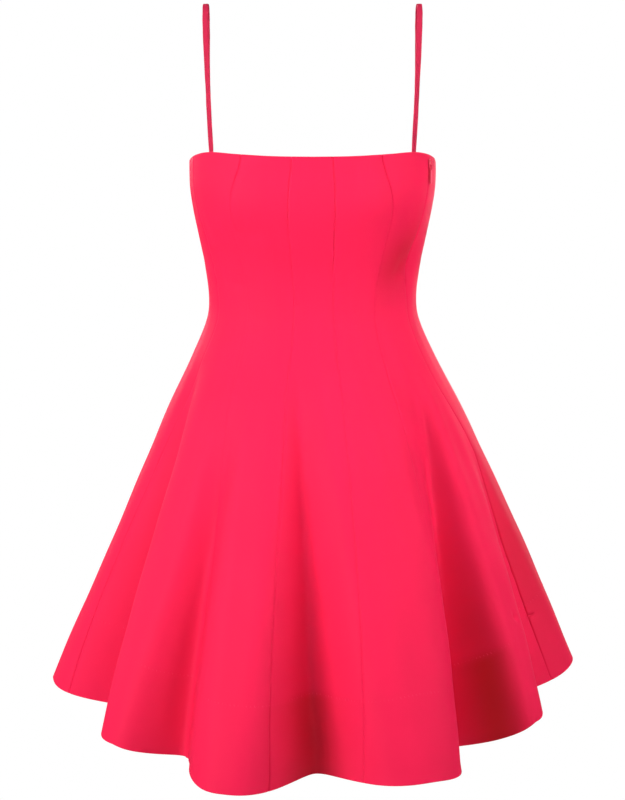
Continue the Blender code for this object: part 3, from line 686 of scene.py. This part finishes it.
# ---------------------------------------------------------------------------------------------- sewing
# Spun polyester sewing thread, a little paler than the cloth. Blind stitches catch a few threads of the
# face along the top of the hem's turning. Inside, overlock loops bind the raw edges of the pressed-open
# turnings. Threads are 0.3 mm thick and picks 3.7 mm apart, drawn at 0.45 to 0.6 mm and 4.4 mm to show.
PICK_SPACING = 0.0044
PICK_LENGTH = 0.0030
PICK_THREAD = 0.0006
PICK_SLANT = 0.45
PICK_SEED = 7
PICK_LEAST = 0.35            # a pick's size varies between these shares, with its tension
PICK_MOST = 1.1
PICK_SIDES = 6
THREAD_SIDES = 4
LOOP_SPACING = 0.0024
LOOP_WIDTH = 0.0032
LOOP_THREAD = 0.00045
PATH_STEP = 0.002            # spacing of the points of a seam's path, up and down
HEM_PATH_POINTS = 1440
LOOPS_START = 0.016          # under the neckline's turning
LOOPS_END = 0.088            # above the hem's turning


def clouded_finish(name, clouds_a_metre, detail, first_tone, second_tone, roughness, gloss):
    """A finish whose colour drifts between two tones, with its tree, its shader and its clouds."""
    finish, tree, shader = new_finish(name, roughness, gloss)
    place = add_node(tree, "ShaderNodeTexCoord")
    clouds = add_node(tree, "ShaderNodeTexNoise", None, {
        "Vector": place.outputs["Object"], "Scale": clouds_a_metre, "Detail": detail})
    tint = add_node(tree, "ShaderNodeMix", {"data_type": "RGBA"}, {
        0: clouds.outputs["Fac"], "A": linear(first_tone), "B": linear(second_tone)})
    tree.links.new(tint.outputs["Result"], shader.inputs["Base Color"])
    return finish, tree, shader, clouds


thread = clouded_finish("polyester_thread_dyed_pink", 2500.0, 2.0, "#DA224B", "#E8365E", 0.6, 0.15)[0]


def new_tree(name, sizes):
    """A Geometry Nodes tree with a geometry input and output and these named number inputs."""
    tree = bpy.data.node_groups.new(name, "GeometryNodeTree")
    tree.interface.new_socket("Geometry", in_out="INPUT", socket_type="NodeSocketGeometry")
    for size, kind in sizes:
        tree.interface.new_socket(size, in_out="INPUT", socket_type="NodeSocket" + kind)
    tree.interface.new_socket("Geometry", in_out="OUTPUT", socket_type="NodeSocketGeometry")
    given = tree.nodes.new("NodeGroupInput")
    path = add_node(tree, "GeometryNodeMeshToCurve", None, {"Mesh": given.outputs["Geometry"]})
    out = add_node(tree, "GeometryNodeInputNamedAttribute", {"data_type": "FLOAT_VECTOR"}, {
        "Name": "outward"})
    along = add_node(tree, "GeometryNodeInputTangent")
    return tree, given.outputs, path.outputs["Curve"], out.outputs["Attribute"], along.outputs["Tangent"]


def end_tree(tree, geometry, finish):
    """Ends a tree in real geometry with one material."""
    real = add_node(tree, "GeometryNodeRealizeInstances", None, {"Geometry": geometry})
    coated = add_node(tree, "GeometryNodeSetMaterial", None, {
        "Geometry": real.outputs["Geometry"], "Material": finish})
    add_node(tree, "NodeGroupOutput", None, {"Geometry": coated.outputs["Geometry"]})
    return tree


def stitch_tree(finish):
    """Single stitches along a path, each a short plump tick of thread turned across or along it."""
    tree, given, path, out, along = new_tree("stitch_row", (
        ("Spacing", "Float"), ("Length", "Float"), ("Thread", "Float"), ("Turn", "Float"), ("Slant", "Float"),
        ("Seed", "Int")))
    evenly = add_node(tree, "GeometryNodeResampleCurve", {"mode": "LENGTH"}, {
        "Curve": path, "Length": given["Spacing"]})
    bead = add_node(tree, "GeometryNodeMeshUVSphere", None, {
        "Segments": PICK_SIDES, "Rings": PICK_SIDES - 1, "Radius": 0.5})
    size = add_node(tree, "ShaderNodeCombineXYZ", None, {
        "X": given["Length"], "Y": given["Thread"], "Z": given["Thread"]})
    tick = add_node(tree, "GeometryNodeTransform", None, {
        "Geometry": bead.outputs["Mesh"], "Scale": size.outputs["Vector"]})
    lie = add_node(tree, "FunctionNodeAxesToRotation", {"primary_axis": "Z", "secondary_axis": "X"}, {
        "Primary Axis": out, "Secondary Axis": along})
    most = add_node(tree, "ShaderNodeMath", {"operation": "ADD"}, {0: given["Turn"], 1: given["Slant"]})
    least = add_node(tree, "ShaderNodeMath", {"operation": "SUBTRACT"}, {0: given["Turn"], 1: given["Slant"]})
    lean = add_node(tree, "FunctionNodeRandomValue", {"data_type": "FLOAT"}, {
        "Min": least.outputs["Value"], "Max": most.outputs["Value"], "Seed": given["Seed"]})
    spin = add_node(tree, "FunctionNodeAxisAngleToRotation", None, {
        "Axis": (0.0, 0.0, 1.0), "Angle": lean.outputs[1]})
    turned = add_node(tree, "FunctionNodeRotateRotation", {"rotation_space": "LOCAL"}, {
        "Rotation": lie.outputs["Rotation"], "Rotate By": spin.outputs["Rotation"]})
    tension = add_node(tree, "FunctionNodeRandomValue", {"data_type": "FLOAT"}, {
        "Min": PICK_LEAST, "Max": PICK_MOST, "Seed": given["Seed"]})
    row = add_node(tree, "GeometryNodeInstanceOnPoints", None, {
        "Points": evenly.outputs["Curve"], "Instance": tick.outputs["Geometry"],
        "Rotation": turned.outputs["Rotation"], "Scale": tension.outputs[1]})
    return end_tree(tree, row.outputs["Instances"], finish)


def winding_tree(name, finish, turns_points):
    """One thread wound along a path: a zigzag with 2 points a turn, or a flattened coil with more."""
    tree, given, path, out, along = new_tree(name, (
        ("Pitch", "Float"), ("Width", "Float"), ("Height", "Float"), ("Thread", "Float"), ("Phase", "Float")))
    step = add_node(tree, "ShaderNodeMath", {"operation": "DIVIDE"}, {
        0: given["Pitch"], 1: float(turns_points)})
    evenly = add_node(tree, "GeometryNodeResampleCurve", {"mode": "LENGTH"}, {
        "Curve": path, "Length": step.outputs["Value"]})
    order = add_node(tree, "GeometryNodeInputIndex")
    turn = add_node(tree, "ShaderNodeMath", {"operation": "MULTIPLY_ADD"}, {
        0: order.outputs["Index"], 1: 2.0 * math.pi / turns_points, 2: given["Phase"]})
    across = add_node(tree, "ShaderNodeVectorMath", {"operation": "CROSS_PRODUCT"}, {0: along, 1: out})
    shift = []
    for wave, size, direction in (("COSINE", "Width", across.outputs["Vector"]), ("SINE", "Height", out)):
        swing = add_node(tree, "ShaderNodeMath", {"operation": wave}, {0: turn.outputs["Value"]})
        reach = add_node(tree, "ShaderNodeMath", {"operation": "MULTIPLY"}, {
            0: swing.outputs["Value"], 1: given[size]})
        half = add_node(tree, "ShaderNodeMath", {"operation": "MULTIPLY"}, {
            0: reach.outputs["Value"], 1: 0.5})
        shift.append(add_node(tree, "ShaderNodeVectorMath", {"operation": "SCALE"}, {
            0: direction, "Scale": half.outputs["Value"]}).outputs["Vector"])
    offset = add_node(tree, "ShaderNodeVectorMath", {"operation": "ADD"}, {0: shift[0], 1: shift[1]})
    wound = add_node(tree, "GeometryNodeSetPosition", None, {
        "Geometry": evenly.outputs["Curve"], "Offset": offset.outputs["Vector"]})
    thin = add_node(tree, "ShaderNodeMath", {"operation": "MULTIPLY"}, {0: given["Thread"], 1: 0.5})
    profile = add_node(tree, "GeometryNodeCurvePrimitiveCircle", None, {
        "Resolution": THREAD_SIDES, "Radius": thin.outputs["Value"]})
    body = add_node(tree, "GeometryNodeCurveToMesh", None, {
        "Curve": wound.outputs["Geometry"], "Profile Curve": profile.outputs["Curve"], "Fill Caps": True})
    smooth = add_node(tree, "GeometryNodeSetShadeSmooth", None, {
        "Geometry": body.outputs["Mesh"], "Shade Smooth": True})
    return end_tree(tree, smooth.outputs["Geometry"], finish)


def follow(name, lines, tree, sizes):
    """A plain mesh made by a tree along lines, each a pair of its points and their outward directions."""
    mesh = bpy.data.meshes.new(name + "_path")
    points = np.concatenate([line[0] for line in lines])
    out = np.concatenate([line[1] for line in lines])
    starts = np.cumsum([0] + [len(line[0]) for line in lines])
    edges = [(k, k + 1) for first, end in zip(starts, starts[1:]) for k in range(first, end - 1)]
    mesh.from_pydata(points.tolist(), edges, [])
    outward_data = mesh.attributes.new("outward", "FLOAT_VECTOR", "POINT").data
    outward_data.foreach_set("vector", out.astype(np.float32).ravel())
    guide = new_object(name + "_path", mesh)
    grower = guide.modifiers.new("grow", "NODES")
    grower.node_group = tree
    for socket in tree.interface.items_tree:
        if socket.in_out == "INPUT" and socket.name in sizes:
            grower[socket.identifier] = sizes[socket.name]
    made = bpy.data.meshes.new_from_object(guide.evaluated_get(bpy.context.evaluated_depsgraph_get()))
    made.name = name
    bpy.data.objects.remove(guide)
    return new_object(name, made)


stitch_row = stitch_tree(thread)
round_hem = np.linspace(-180.0, 180.0, HEM_PATH_POINTS + 1)
hem_line_z = hem_z(round_hem) + HEM_TURN
hem_out = outward(round_hem, hem_line_z)
hem_line = outer_point(round_hem, hem_line_z) + hem_out * soft_form(round_hem, hem_line_z)[:, None]
picks = follow("hem_blind_stitches", [(hem_line, hem_out)], stitch_row, {
    "Spacing": PICK_SPACING, "Length": PICK_LENGTH, "Thread": PICK_THREAD, "Turn": math.pi / 2.0,
    "Slant": PICK_SLANT, "Seed": PICK_SEED})
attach(picks, "dress")

edges_inside = []
for seam in SEAMS:
    seam_z = np.arange(float(neckline_z(np.array(SEAMS[seam][0]))) - LOOPS_START,
                       float(hem_z(np.array(SEAMS[seam][-1]))) + LOOPS_END, -PATH_STEP)
    for side in (-1.0, 1.0):
        middle = seam_angle(seam, seam_z)
        at = middle + side * (ALLOWANCE - LOOP_WIDTH / 2.0) / length_per_degree(middle, seam_z)
        out = outward(at, seam_z)
        depth = soft_form(at, seam_z) - CLOTH - ALLOWANCE_THICKNESS
        edges_inside.append((outer_point(at, seam_z) + out * depth[:, None], out))
loops = follow("overlocked_edges", edges_inside, winding_tree("overlock", thread, 2), {
    "Pitch": LOOP_SPACING, "Width": LOOP_WIDTH, "Height": 0.0, "Thread": LOOP_THREAD, "Phase": 0.0})
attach(loops, "dress")


# ---------------------------------------------------------------------------------------------- straps
# Two narrow straps: a bias strip of the same cloth sewn into a tube, turned and pressed flat, 6 mm wide.
# Their ends are caught behind the turned-in neckline. They lie in the cloth's plane there and turn to
# lie flat on the shoulders.
STRAP_WIDTH = 0.006
STRAP_THICKNESS = 0.0016
STRAP_CLOTH = 0.0004
STRAP_TUCK = 0.013           # length of each end that is caught behind the neckline
STRAP_FRONT_ANGLE = 57.0
STRAP_BACK_ANGLE = 117.0
STRAP_BACK_BOW = 0.003       # its back half bends outward, over the shoulder blade
STRAP_LIES_UNDER = 0.0023    # depth of its outer face under the cloth's, at its ends
SHOULDER_X = 0.1188
STRAP_STEP = 0.0025
STRAP_SIDES = 20
STRAP_EASING = 14            # rounds of evening out that give the strap its even bend over the shoulder
STRAP_SQUARENESS = 0.55      # of its section, where 1 is an ellipse and less is squarer
STRAP_DIP = 0.22             # share of its thickness that it loses beside the sewn edge
STRAP_DIP_PLACE = 0.55       # share of half its width
STRAP_DIP_WIDTH = 0.0006
STRAP_WAVER = 0.00012        # sideways, from its hand-turned seam
STRAP_WAVER_SPACING = 0.031
STRAP_GRAIN = 0.002          # metres of cloth for a radian round it
LEVEL = np.array((-1.0, 0.0, 0.0))   # across a strap, where it lies on the shoulder
StrapPoint = namedtuple("StrapPoint", "y z")
STRAP_ROUTE = (              # over the shoulder, from front to back, underside
    StrapPoint(-0.0700, -0.1150),
    StrapPoint(-0.0610, -0.0620),
    StrapPoint(-0.0420, -0.0200),
    StrapPoint(-0.0180, -0.0025),
    StrapPoint(0.0000, 0.0000),
    StrapPoint(0.0180, -0.0030),
    StrapPoint(0.0380, -0.0240),
    StrapPoint(0.0530, -0.0750),
    StrapPoint(0.0600, -0.1350),
)


# The strip is cut on the bias, and has the gores' sateen in a duskier tone of the same pink.
bias_sateen = sateen.copy()
bias_sateen.name = "cotton_sateen_bias_strip_pink"
strip_dye = bias_sateen.node_tree.nodes[dye.name]
node_input(strip_dye, "A").default_value = linear("#B42141")
node_input(strip_dye, "B").default_value = linear("#BC2546")


def strap_line(side):
    """Centre line of one strap: behind the front edge, over the shoulder, behind the back edge."""
    def tucked(angle, below_edge):
        angle = np.array(side * angle)
        z = neckline_z(angle) - below_edge
        return outer_point(angle, z) - outward(angle, z) * (STRAP_LIES_UNDER + STRAP_THICKNESS / 2.0)

    front = [tucked(STRAP_FRONT_ANGLE, below) for below in (STRAP_TUCK, STRAP_TUCK / 2.0, 0.0)]
    back = [tucked(STRAP_BACK_ANGLE, below) for below in (0.0, STRAP_TUCK / 2.0, STRAP_TUCK)]
    over = []
    for point in STRAP_ROUTE:
        edge = front[-1] if point.y < 0.0 else back[0]
        rise = (point.z - edge[2]) / (0.0 - edge[2])
        bow = STRAP_BACK_BOW * math.sin(math.pi * rise) if point.y > 0.0 else 0.0
        x = edge[0] + (side * SHOULDER_X - edge[0]) * rise + side * bow
        over.append(np.array((x, point.y, point.z + STRAP_THICKNESS / 2.0)))
    return np.array(front + over + back)


def strap_sections(side):
    """Places, directions across and directions up of a strap's sections."""
    line = strap_line(side)
    lengths = np.concatenate(([0.0], np.cumsum(np.linalg.norm(np.diff(line, axis=0), axis=1))))
    total = lengths[-1]
    shoulder = lengths[np.argmin(np.abs(line[:, 1]))]
    distance = np.linspace(0.0, total, round(total / STRAP_STEP) + 1)
    place = np.stack([smooth_curve(lengths, line[:, axis], distance) for axis in range(3)], axis=-1)
    for _ in range(STRAP_EASING):
        place[1:-1] = (place[:-2] + 2.0 * place[1:-1] + place[2:]) / 4.0
    along = np.gradient(place, axis=0)
    along /= np.linalg.norm(along, axis=1, keepdims=True)

    def in_cloth(angle):
        angle = np.array(side * angle)
        normal = outward(angle, neckline_z(angle))
        flat = np.array((normal[1], -normal[0], 0.0)) / math.hypot(normal[0], normal[1])
        return flat * np.sign(flat @ LEVEL)

    turned = np.where(distance < shoulder, (distance - STRAP_TUCK) / (shoulder - STRAP_TUCK),
                      (total - STRAP_TUCK - distance) / (total - STRAP_TUCK - shoulder))
    turned = smooth_step(turned)[:, None]
    start = np.where((distance < shoulder)[:, None], in_cloth(STRAP_FRONT_ANGLE), in_cloth(STRAP_BACK_ANGLE))
    across = start * (1.0 - turned) + LEVEL * turned
    across -= along * np.sum(across * along, axis=1, keepdims=True)
    across /= np.linalg.norm(across, axis=1, keepdims=True)
    return place, across, np.cross(along, across), distance


def grid_uv(across, along, shape):
    """The same grain places for each layer of a grid of points."""
    return np.stack((np.broadcast_to(across, shape), np.broadcast_to(along, shape)), axis=-1).reshape(-1, 2)


def strap_shell(name, side):
    """Hollow flat tube with a fine seam along one edge, closed at both ends."""
    place, across, up, distance = strap_sections(side)
    turn = np.linspace(0.0, 2.0 * np.pi, STRAP_SIDES, endpoint=False)
    layers = []
    for inset in (0.0, STRAP_CLOTH):
        half, thin = STRAP_WIDTH / 2.0 - inset, STRAP_THICKNESS / 2.0 - inset
        a = half * np.sign(np.cos(turn)) * np.abs(np.cos(turn)) ** STRAP_SQUARENESS
        b = thin * np.sign(np.sin(turn)) * np.abs(np.sin(turn)) ** STRAP_SQUARENESS
        b = b * (1.0 - STRAP_DIP * np.exp(-((a - half * STRAP_DIP_PLACE) / STRAP_DIP_WIDTH) ** 2))
        wide = a + STRAP_WAVER * ripple(distance, STRAP_WAVER_SPACING)[:, None]
        layers.append(place[:, None] + across[:, None] * wide[..., None] + up[:, None] * b[None, :, None])
    count = len(place)
    index = np.arange(2 * count * STRAP_SIDES).reshape(2, count, STRAP_SIDES)
    after = np.roll(index, -1, axis=2)
    outer = np.stack((index[0, :-1], after[0, :-1], after[0, 1:], index[0, 1:]), axis=-1).reshape(-1, 4)
    inner = np.stack((index[1, :-1], index[1, 1:], after[1, 1:], after[1, :-1]), axis=-1).reshape(-1, 4)
    start = np.stack((index[0, 0], index[1, 0], after[1, 0], after[0, 0]), axis=-1)
    end = np.stack((index[0, -1], after[0, -1], after[1, -1], index[1, -1]), axis=-1)
    faces = np.concatenate((outer, inner, start, end)).tolist()
    return new_piece(name, np.array(layers).reshape(-1, 3), faces, bias_sateen,
                     grid_uv(turn * STRAP_GRAIN, distance[:, None], index.shape))


for hand, side in (("left", 1.0), ("right", -1.0)):
    piece = strap_shell(f"strap_{hand}_turned", side)
    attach(piece, "dress")
    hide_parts(f"strap_{hand}")


# ---------------------------------------------------------------------------------------------- side zip
# A concealed zip in the wearer's left side seam. Its woven tapes lie flat inside the seam, with the
# moulded coil between them, and its enamelled slider and tab are all that shows outside.
ZIP_SEAM = "side_left"
TAPE_WIDTH = 0.024
TAPE_THICKNESS = 0.0006
TAPE_LIES_UNDER = 0.0023     # depth of its outer face under the cloth's
TAPE_BELOW_EDGE = 0.001
TAPE_END_Z = -0.424
TAPE_ROWS = 90
TAPE_COLUMNS = 16
TAPE_RIB = 0.0012            # spacing of the weave's ribs

# Woven polyester tape: fine ribs along it, and a slight gloss.
polyester, tree, shader = new_finish("polyester_zip_tape_dyed_pink", 0.55, 0.3)
grain = add_node(tree, "ShaderNodeUVMap", {"uv_map": "grain"})
ribs = add_node(tree, "ShaderNodeTexWave", {"bands_direction": "X"}, {
    "Vector": grain.outputs["UV"], "Scale": BAND / TAPE_RIB, "Distortion": 0.4})
tint = add_node(tree, "ShaderNodeMix", {"data_type": "RGBA"}, {
    0: ribs.outputs["Fac"], "A": linear("#C81440"), "B": linear("#E41F4E")})
tree.links.new(tint.outputs["Result"], shader.inputs["Base Color"])
bump = add_node(tree, "ShaderNodeBump", None, {
    "Strength": 0.4, "Distance": 0.0002, "Height": ribs.outputs["Fac"]})
tree.links.new(bump.outputs["Normal"], shader.inputs["Normal"])

zip_top = float(neckline_z(np.array(SEAMS[ZIP_SEAM][0]))) - TAPE_BELOW_EDGE
zip_z = np.linspace(zip_top, TAPE_END_Z, TAPE_ROWS + 1)
zip_middle = seam_angle(ZIP_SEAM, zip_z)
zip_across = np.linspace(-TAPE_WIDTH / 2.0, TAPE_WIDTH / 2.0, TAPE_COLUMNS + 1)
zip_angle = zip_middle[:, None] + zip_across[None] / length_per_degree(zip_middle, zip_z)[:, None]
zip_grid_z = np.minimum(zip_z[:, None], neckline_z(zip_angle) - TAPE_BELOW_EDGE)
zip_out = outward(zip_angle, zip_grid_z)
tape_depth = soft_form(zip_angle, zip_grid_z) - TAPE_LIES_UNDER
tape_outer = outer_point(zip_angle, zip_grid_z) + zip_out * tape_depth[..., None]
tape_inner = tape_outer - zip_out * TAPE_THICKNESS
index = np.arange(2 * tape_outer[..., 0].size).reshape(2, TAPE_ROWS + 1, TAPE_COLUMNS + 1)
faces = []
for layer, turned in ((0, False), (1, True)):
    at = index[layer]
    quads = np.stack((at[:-1, :-1], at[1:, :-1], at[1:, 1:], at[:-1, 1:]), axis=-1).reshape(-1, 4)
    faces += (quads[:, ::-1] if turned else quads).tolist()
rim = np.concatenate((index[:, 0, :], index[:, 1:, -1], index[:, -1, -2::-1], index[:, -2:0:-1, 0]), axis=1)
after = np.roll(rim, -1, axis=1)
faces += np.stack((rim[0], after[0], after[1], rim[1]), axis=-1).tolist()
tape = new_piece("zip_tape_woven", np.stack((tape_outer, tape_inner)).reshape(-1, 3), faces, polyester,
                 grid_uv(zip_across, zip_z[:, None], index.shape))
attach(tape, "dress")
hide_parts("zip_tape")

# Two coils of nylon monofilament, wound and pressed flat, mesh on the inner side of the tapes. The drawn
# nylon is smooth and the glossiest thing on the dress.
COIL_PITCH = 0.0013
COIL_WIDTH = 0.0030
COIL_HEIGHT = 0.0013
COIL_THREAD = 0.00060
COIL_OFFSET = 0.0009         # of each coil's middle from the seam
COIL_POINTS = 10             # points in one turn
TAPE_STITCH = 0.0024
TAPE_STITCH_LENGTH = 0.00204
TAPE_STITCH_SLANT = 0.05
TAPE_STITCH_OFFSET = 0.0085  # of the sewing from the middle of the tapes

nylon = clouded_finish("nylon_coil_dyed_pink", 400.0, 2.0, "#CE1A46", "#E8305A", 0.35, 0.5)[0]
coil_winding = winding_tree("coil_winding", nylon, COIL_POINTS)

zip_middle_out = zip_out[:, TAPE_COLUMNS // 2]
zip_side = np.cross(zip_middle_out, np.gradient(tape_inner[:, TAPE_COLUMNS // 2], axis=0))
zip_side /= np.linalg.norm(zip_side, axis=1, keepdims=True)
coil_line = tape_inner[:, TAPE_COLUMNS // 2] - zip_middle_out * (COIL_HEIGHT + COIL_THREAD) / 2.0
for name, side, phase in (("zip_coil_front", -1.0, 0.0), ("zip_coil_back", 1.0, math.pi)):
    coil = follow(name, [(coil_line + zip_side * side * COIL_OFFSET, zip_middle_out)], coil_winding, {
        "Pitch": COIL_PITCH, "Width": COIL_WIDTH, "Height": COIL_HEIGHT, "Thread": COIL_THREAD,
        "Phase": phase})
    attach(coil, "dress")
tape_rows = []
for side in (-1.0, 1.0):
    on_tape = tape_inner[:, TAPE_COLUMNS // 2] + zip_side * side * TAPE_STITCH_OFFSET
    column = int(np.argmin(np.linalg.norm(tape_inner[TAPE_ROWS // 2] - on_tape[TAPE_ROWS // 2], axis=1)))
    tape_rows.append((tape_inner[:, column], zip_out[:, column]))
sewn = follow("zip_tape_stitches", tape_rows, stitch_row, {
    "Spacing": TAPE_STITCH, "Length": TAPE_STITCH_LENGTH, "Thread": PICK_THREAD, "Turn": 0.0,
    "Slant": TAPE_STITCH_SLANT, "Seed": PICK_SEED})
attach(sewn, "dress")

# Zinc die-cast, tumbled and coated with baked pink enamel: a smooth, silky skin, a little cloudy where
# handling has rubbed it.
enamel, tree, shader, rub = clouded_finish(
    "baked_enamel_on_zinc_pink", 700.0, 3.0, "#DC1C4A", "#EC3058", 0.45, 0.35)
bump = add_node(tree, "ShaderNodeBump", None, {
    "Strength": 0.15, "Distance": 0.0001, "Height": rub.outputs["Fac"]})
tree.links.new(bump.outputs["Normal"], shader.inputs["Normal"])
for name in ("zip_slider", "zip_pull"):
    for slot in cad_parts[name].material_slots:
        slot.material = enamel


# ---------------------------------------------------------------------------------------------- studio
# A white surround that lights nothing by itself, and square soft lights all round: keys in front at the
# wearer's right, fills at the left, gridded ones on the bust and the hem, two above and three behind. The
# floor is a pale disc under the dress.
FOCAL_PIXELS = 1957.0        # focal length, in pixels of a picture of the next height
PICTURE_HEIGHT = 800.0
SENSOR = 36.0
CAMERA_DISTANCE = 2.25
CAMERA_ELEVATION = 8.5
AIM = Vector((0.0, 0.0, -0.4457))
FLOOR_Z = -1.40              # as far down as a wearer's feet
FLOOR_RADIUS = 1.15
FLOOR_THICKNESS = 0.02
FLOOR_SIDES = 128

lens = bpy.data.cameras.new("camera")
lens.sensor_fit = "VERTICAL"
lens.sensor_width = SENSOR
lens.sensor_height = SENSOR
lens.lens = SENSOR * FOCAL_PIXELS / PICTURE_HEIGHT
camera = new_object("camera", lens)
look = Vector((0.0, math.cos(math.radians(CAMERA_ELEVATION)), -math.sin(math.radians(CAMERA_ELEVATION))))
camera.location = AIM - look * CAMERA_DISTANCE
camera.rotation_euler = look.to_track_quat("-Z", "Y").to_euler()
bpy.context.scene.camera = camera

# Each light stands at a turn (degrees round the dress, 0 in front, + to the wearer's left) and an
# elevation, is square and aims at a height on the axis. "spread" is how wide its grid lets it shine.
Light = namedtuple("Light", "name turn elevation size spread aim_z power")
LIGHTS = (
    Light("key", -50.0, 8.0, 1.2, 180.0, -0.446, 57.0),
    Light("hard_key", -65.0, 20.0, 0.35, 180.0, -0.446, 5.0),
    Light("side_fill", 75.0, 8.0, 1.2, 180.0, -0.446, 20.5),
    Light("high_fill", 75.0, 40.0, 1.2, 180.0, -0.446, 24.0),
    Light("gridded_fill", 35.0, 8.0, 0.5, 35.0, -0.200, 1.4),
    Light("gridded_key", -45.0, 15.0, 0.5, 35.0, -0.200, 0.7),
    Light("gridded_hem", 15.0, 10.0, 0.5, 35.0, -0.720, 0.45),
    Light("high_spot", 40.0, 60.0, 0.35, 180.0, -0.446, 2.0),
    Light("top", 0.0, 80.0, 1.2, 180.0, -0.446, 27.0),
    Light("left_rim", -110.0, 15.0, 1.2, 180.0, -0.446, 13.3),
    Light("back_key", 205.0, 20.0, 1.4, 180.0, -0.446, 46.0),
    Light("back_fill", 150.0, 10.0, 1.4, 180.0, -0.446, 24.0),
)
LIGHT_DISTANCE = 2.6
for light in LIGHTS:
    lamp = bpy.data.lights.new(light.name, "AREA")
    lamp.shape = "SQUARE"
    lamp.size = light.size
    lamp.spread = math.radians(light.spread)
    lamp.energy = light.power
    holder = new_object(light.name, lamp)
    turn, rise = math.radians(light.turn), math.radians(light.elevation)
    away = Vector((math.sin(turn) * math.cos(rise), -math.cos(turn) * math.cos(rise), math.sin(rise)))
    holder.location = AIM + away * LIGHT_DISTANCE
    aimed = Vector((0.0, 0.0, light.aim_z)) - holder.location
    holder.rotation_euler = aimed.to_track_quat("-Z", "Y").to_euler()

world = bpy.data.worlds.new("white_surround")
world.use_nodes = True
bpy.context.scene.world = world
tree = world.node_tree
background = tree.nodes["Background"]
background.inputs["Color"].default_value = (1.0, 1.0, 1.0, 1.0)
rays = add_node(tree, "ShaderNodeLightPath")
brightness = add_node(tree, "ShaderNodeMapRange", None, {
    "Value": rays.outputs["Is Camera Ray"], "To Min": 0.0, "To Max": 1.0})
tree.links.new(brightness.outputs["Result"], background.inputs["Strength"])

bpy.ops.mesh.primitive_cylinder_add(
    vertices=FLOOR_SIDES, radius=FLOOR_RADIUS, depth=FLOOR_THICKNESS, location=(0.0, 0.0, FLOOR_Z))
floor = bpy.context.active_object
floor.name = "floor"
paper, tree, shader = new_finish("white_paper_sweep", 0.9, 0.5)
shader.inputs["Base Color"].default_value = linear("#F6F6F6")
floor.data.materials.append(paper)

bpy.context.scene.view_settings.view_transform = "Standard"
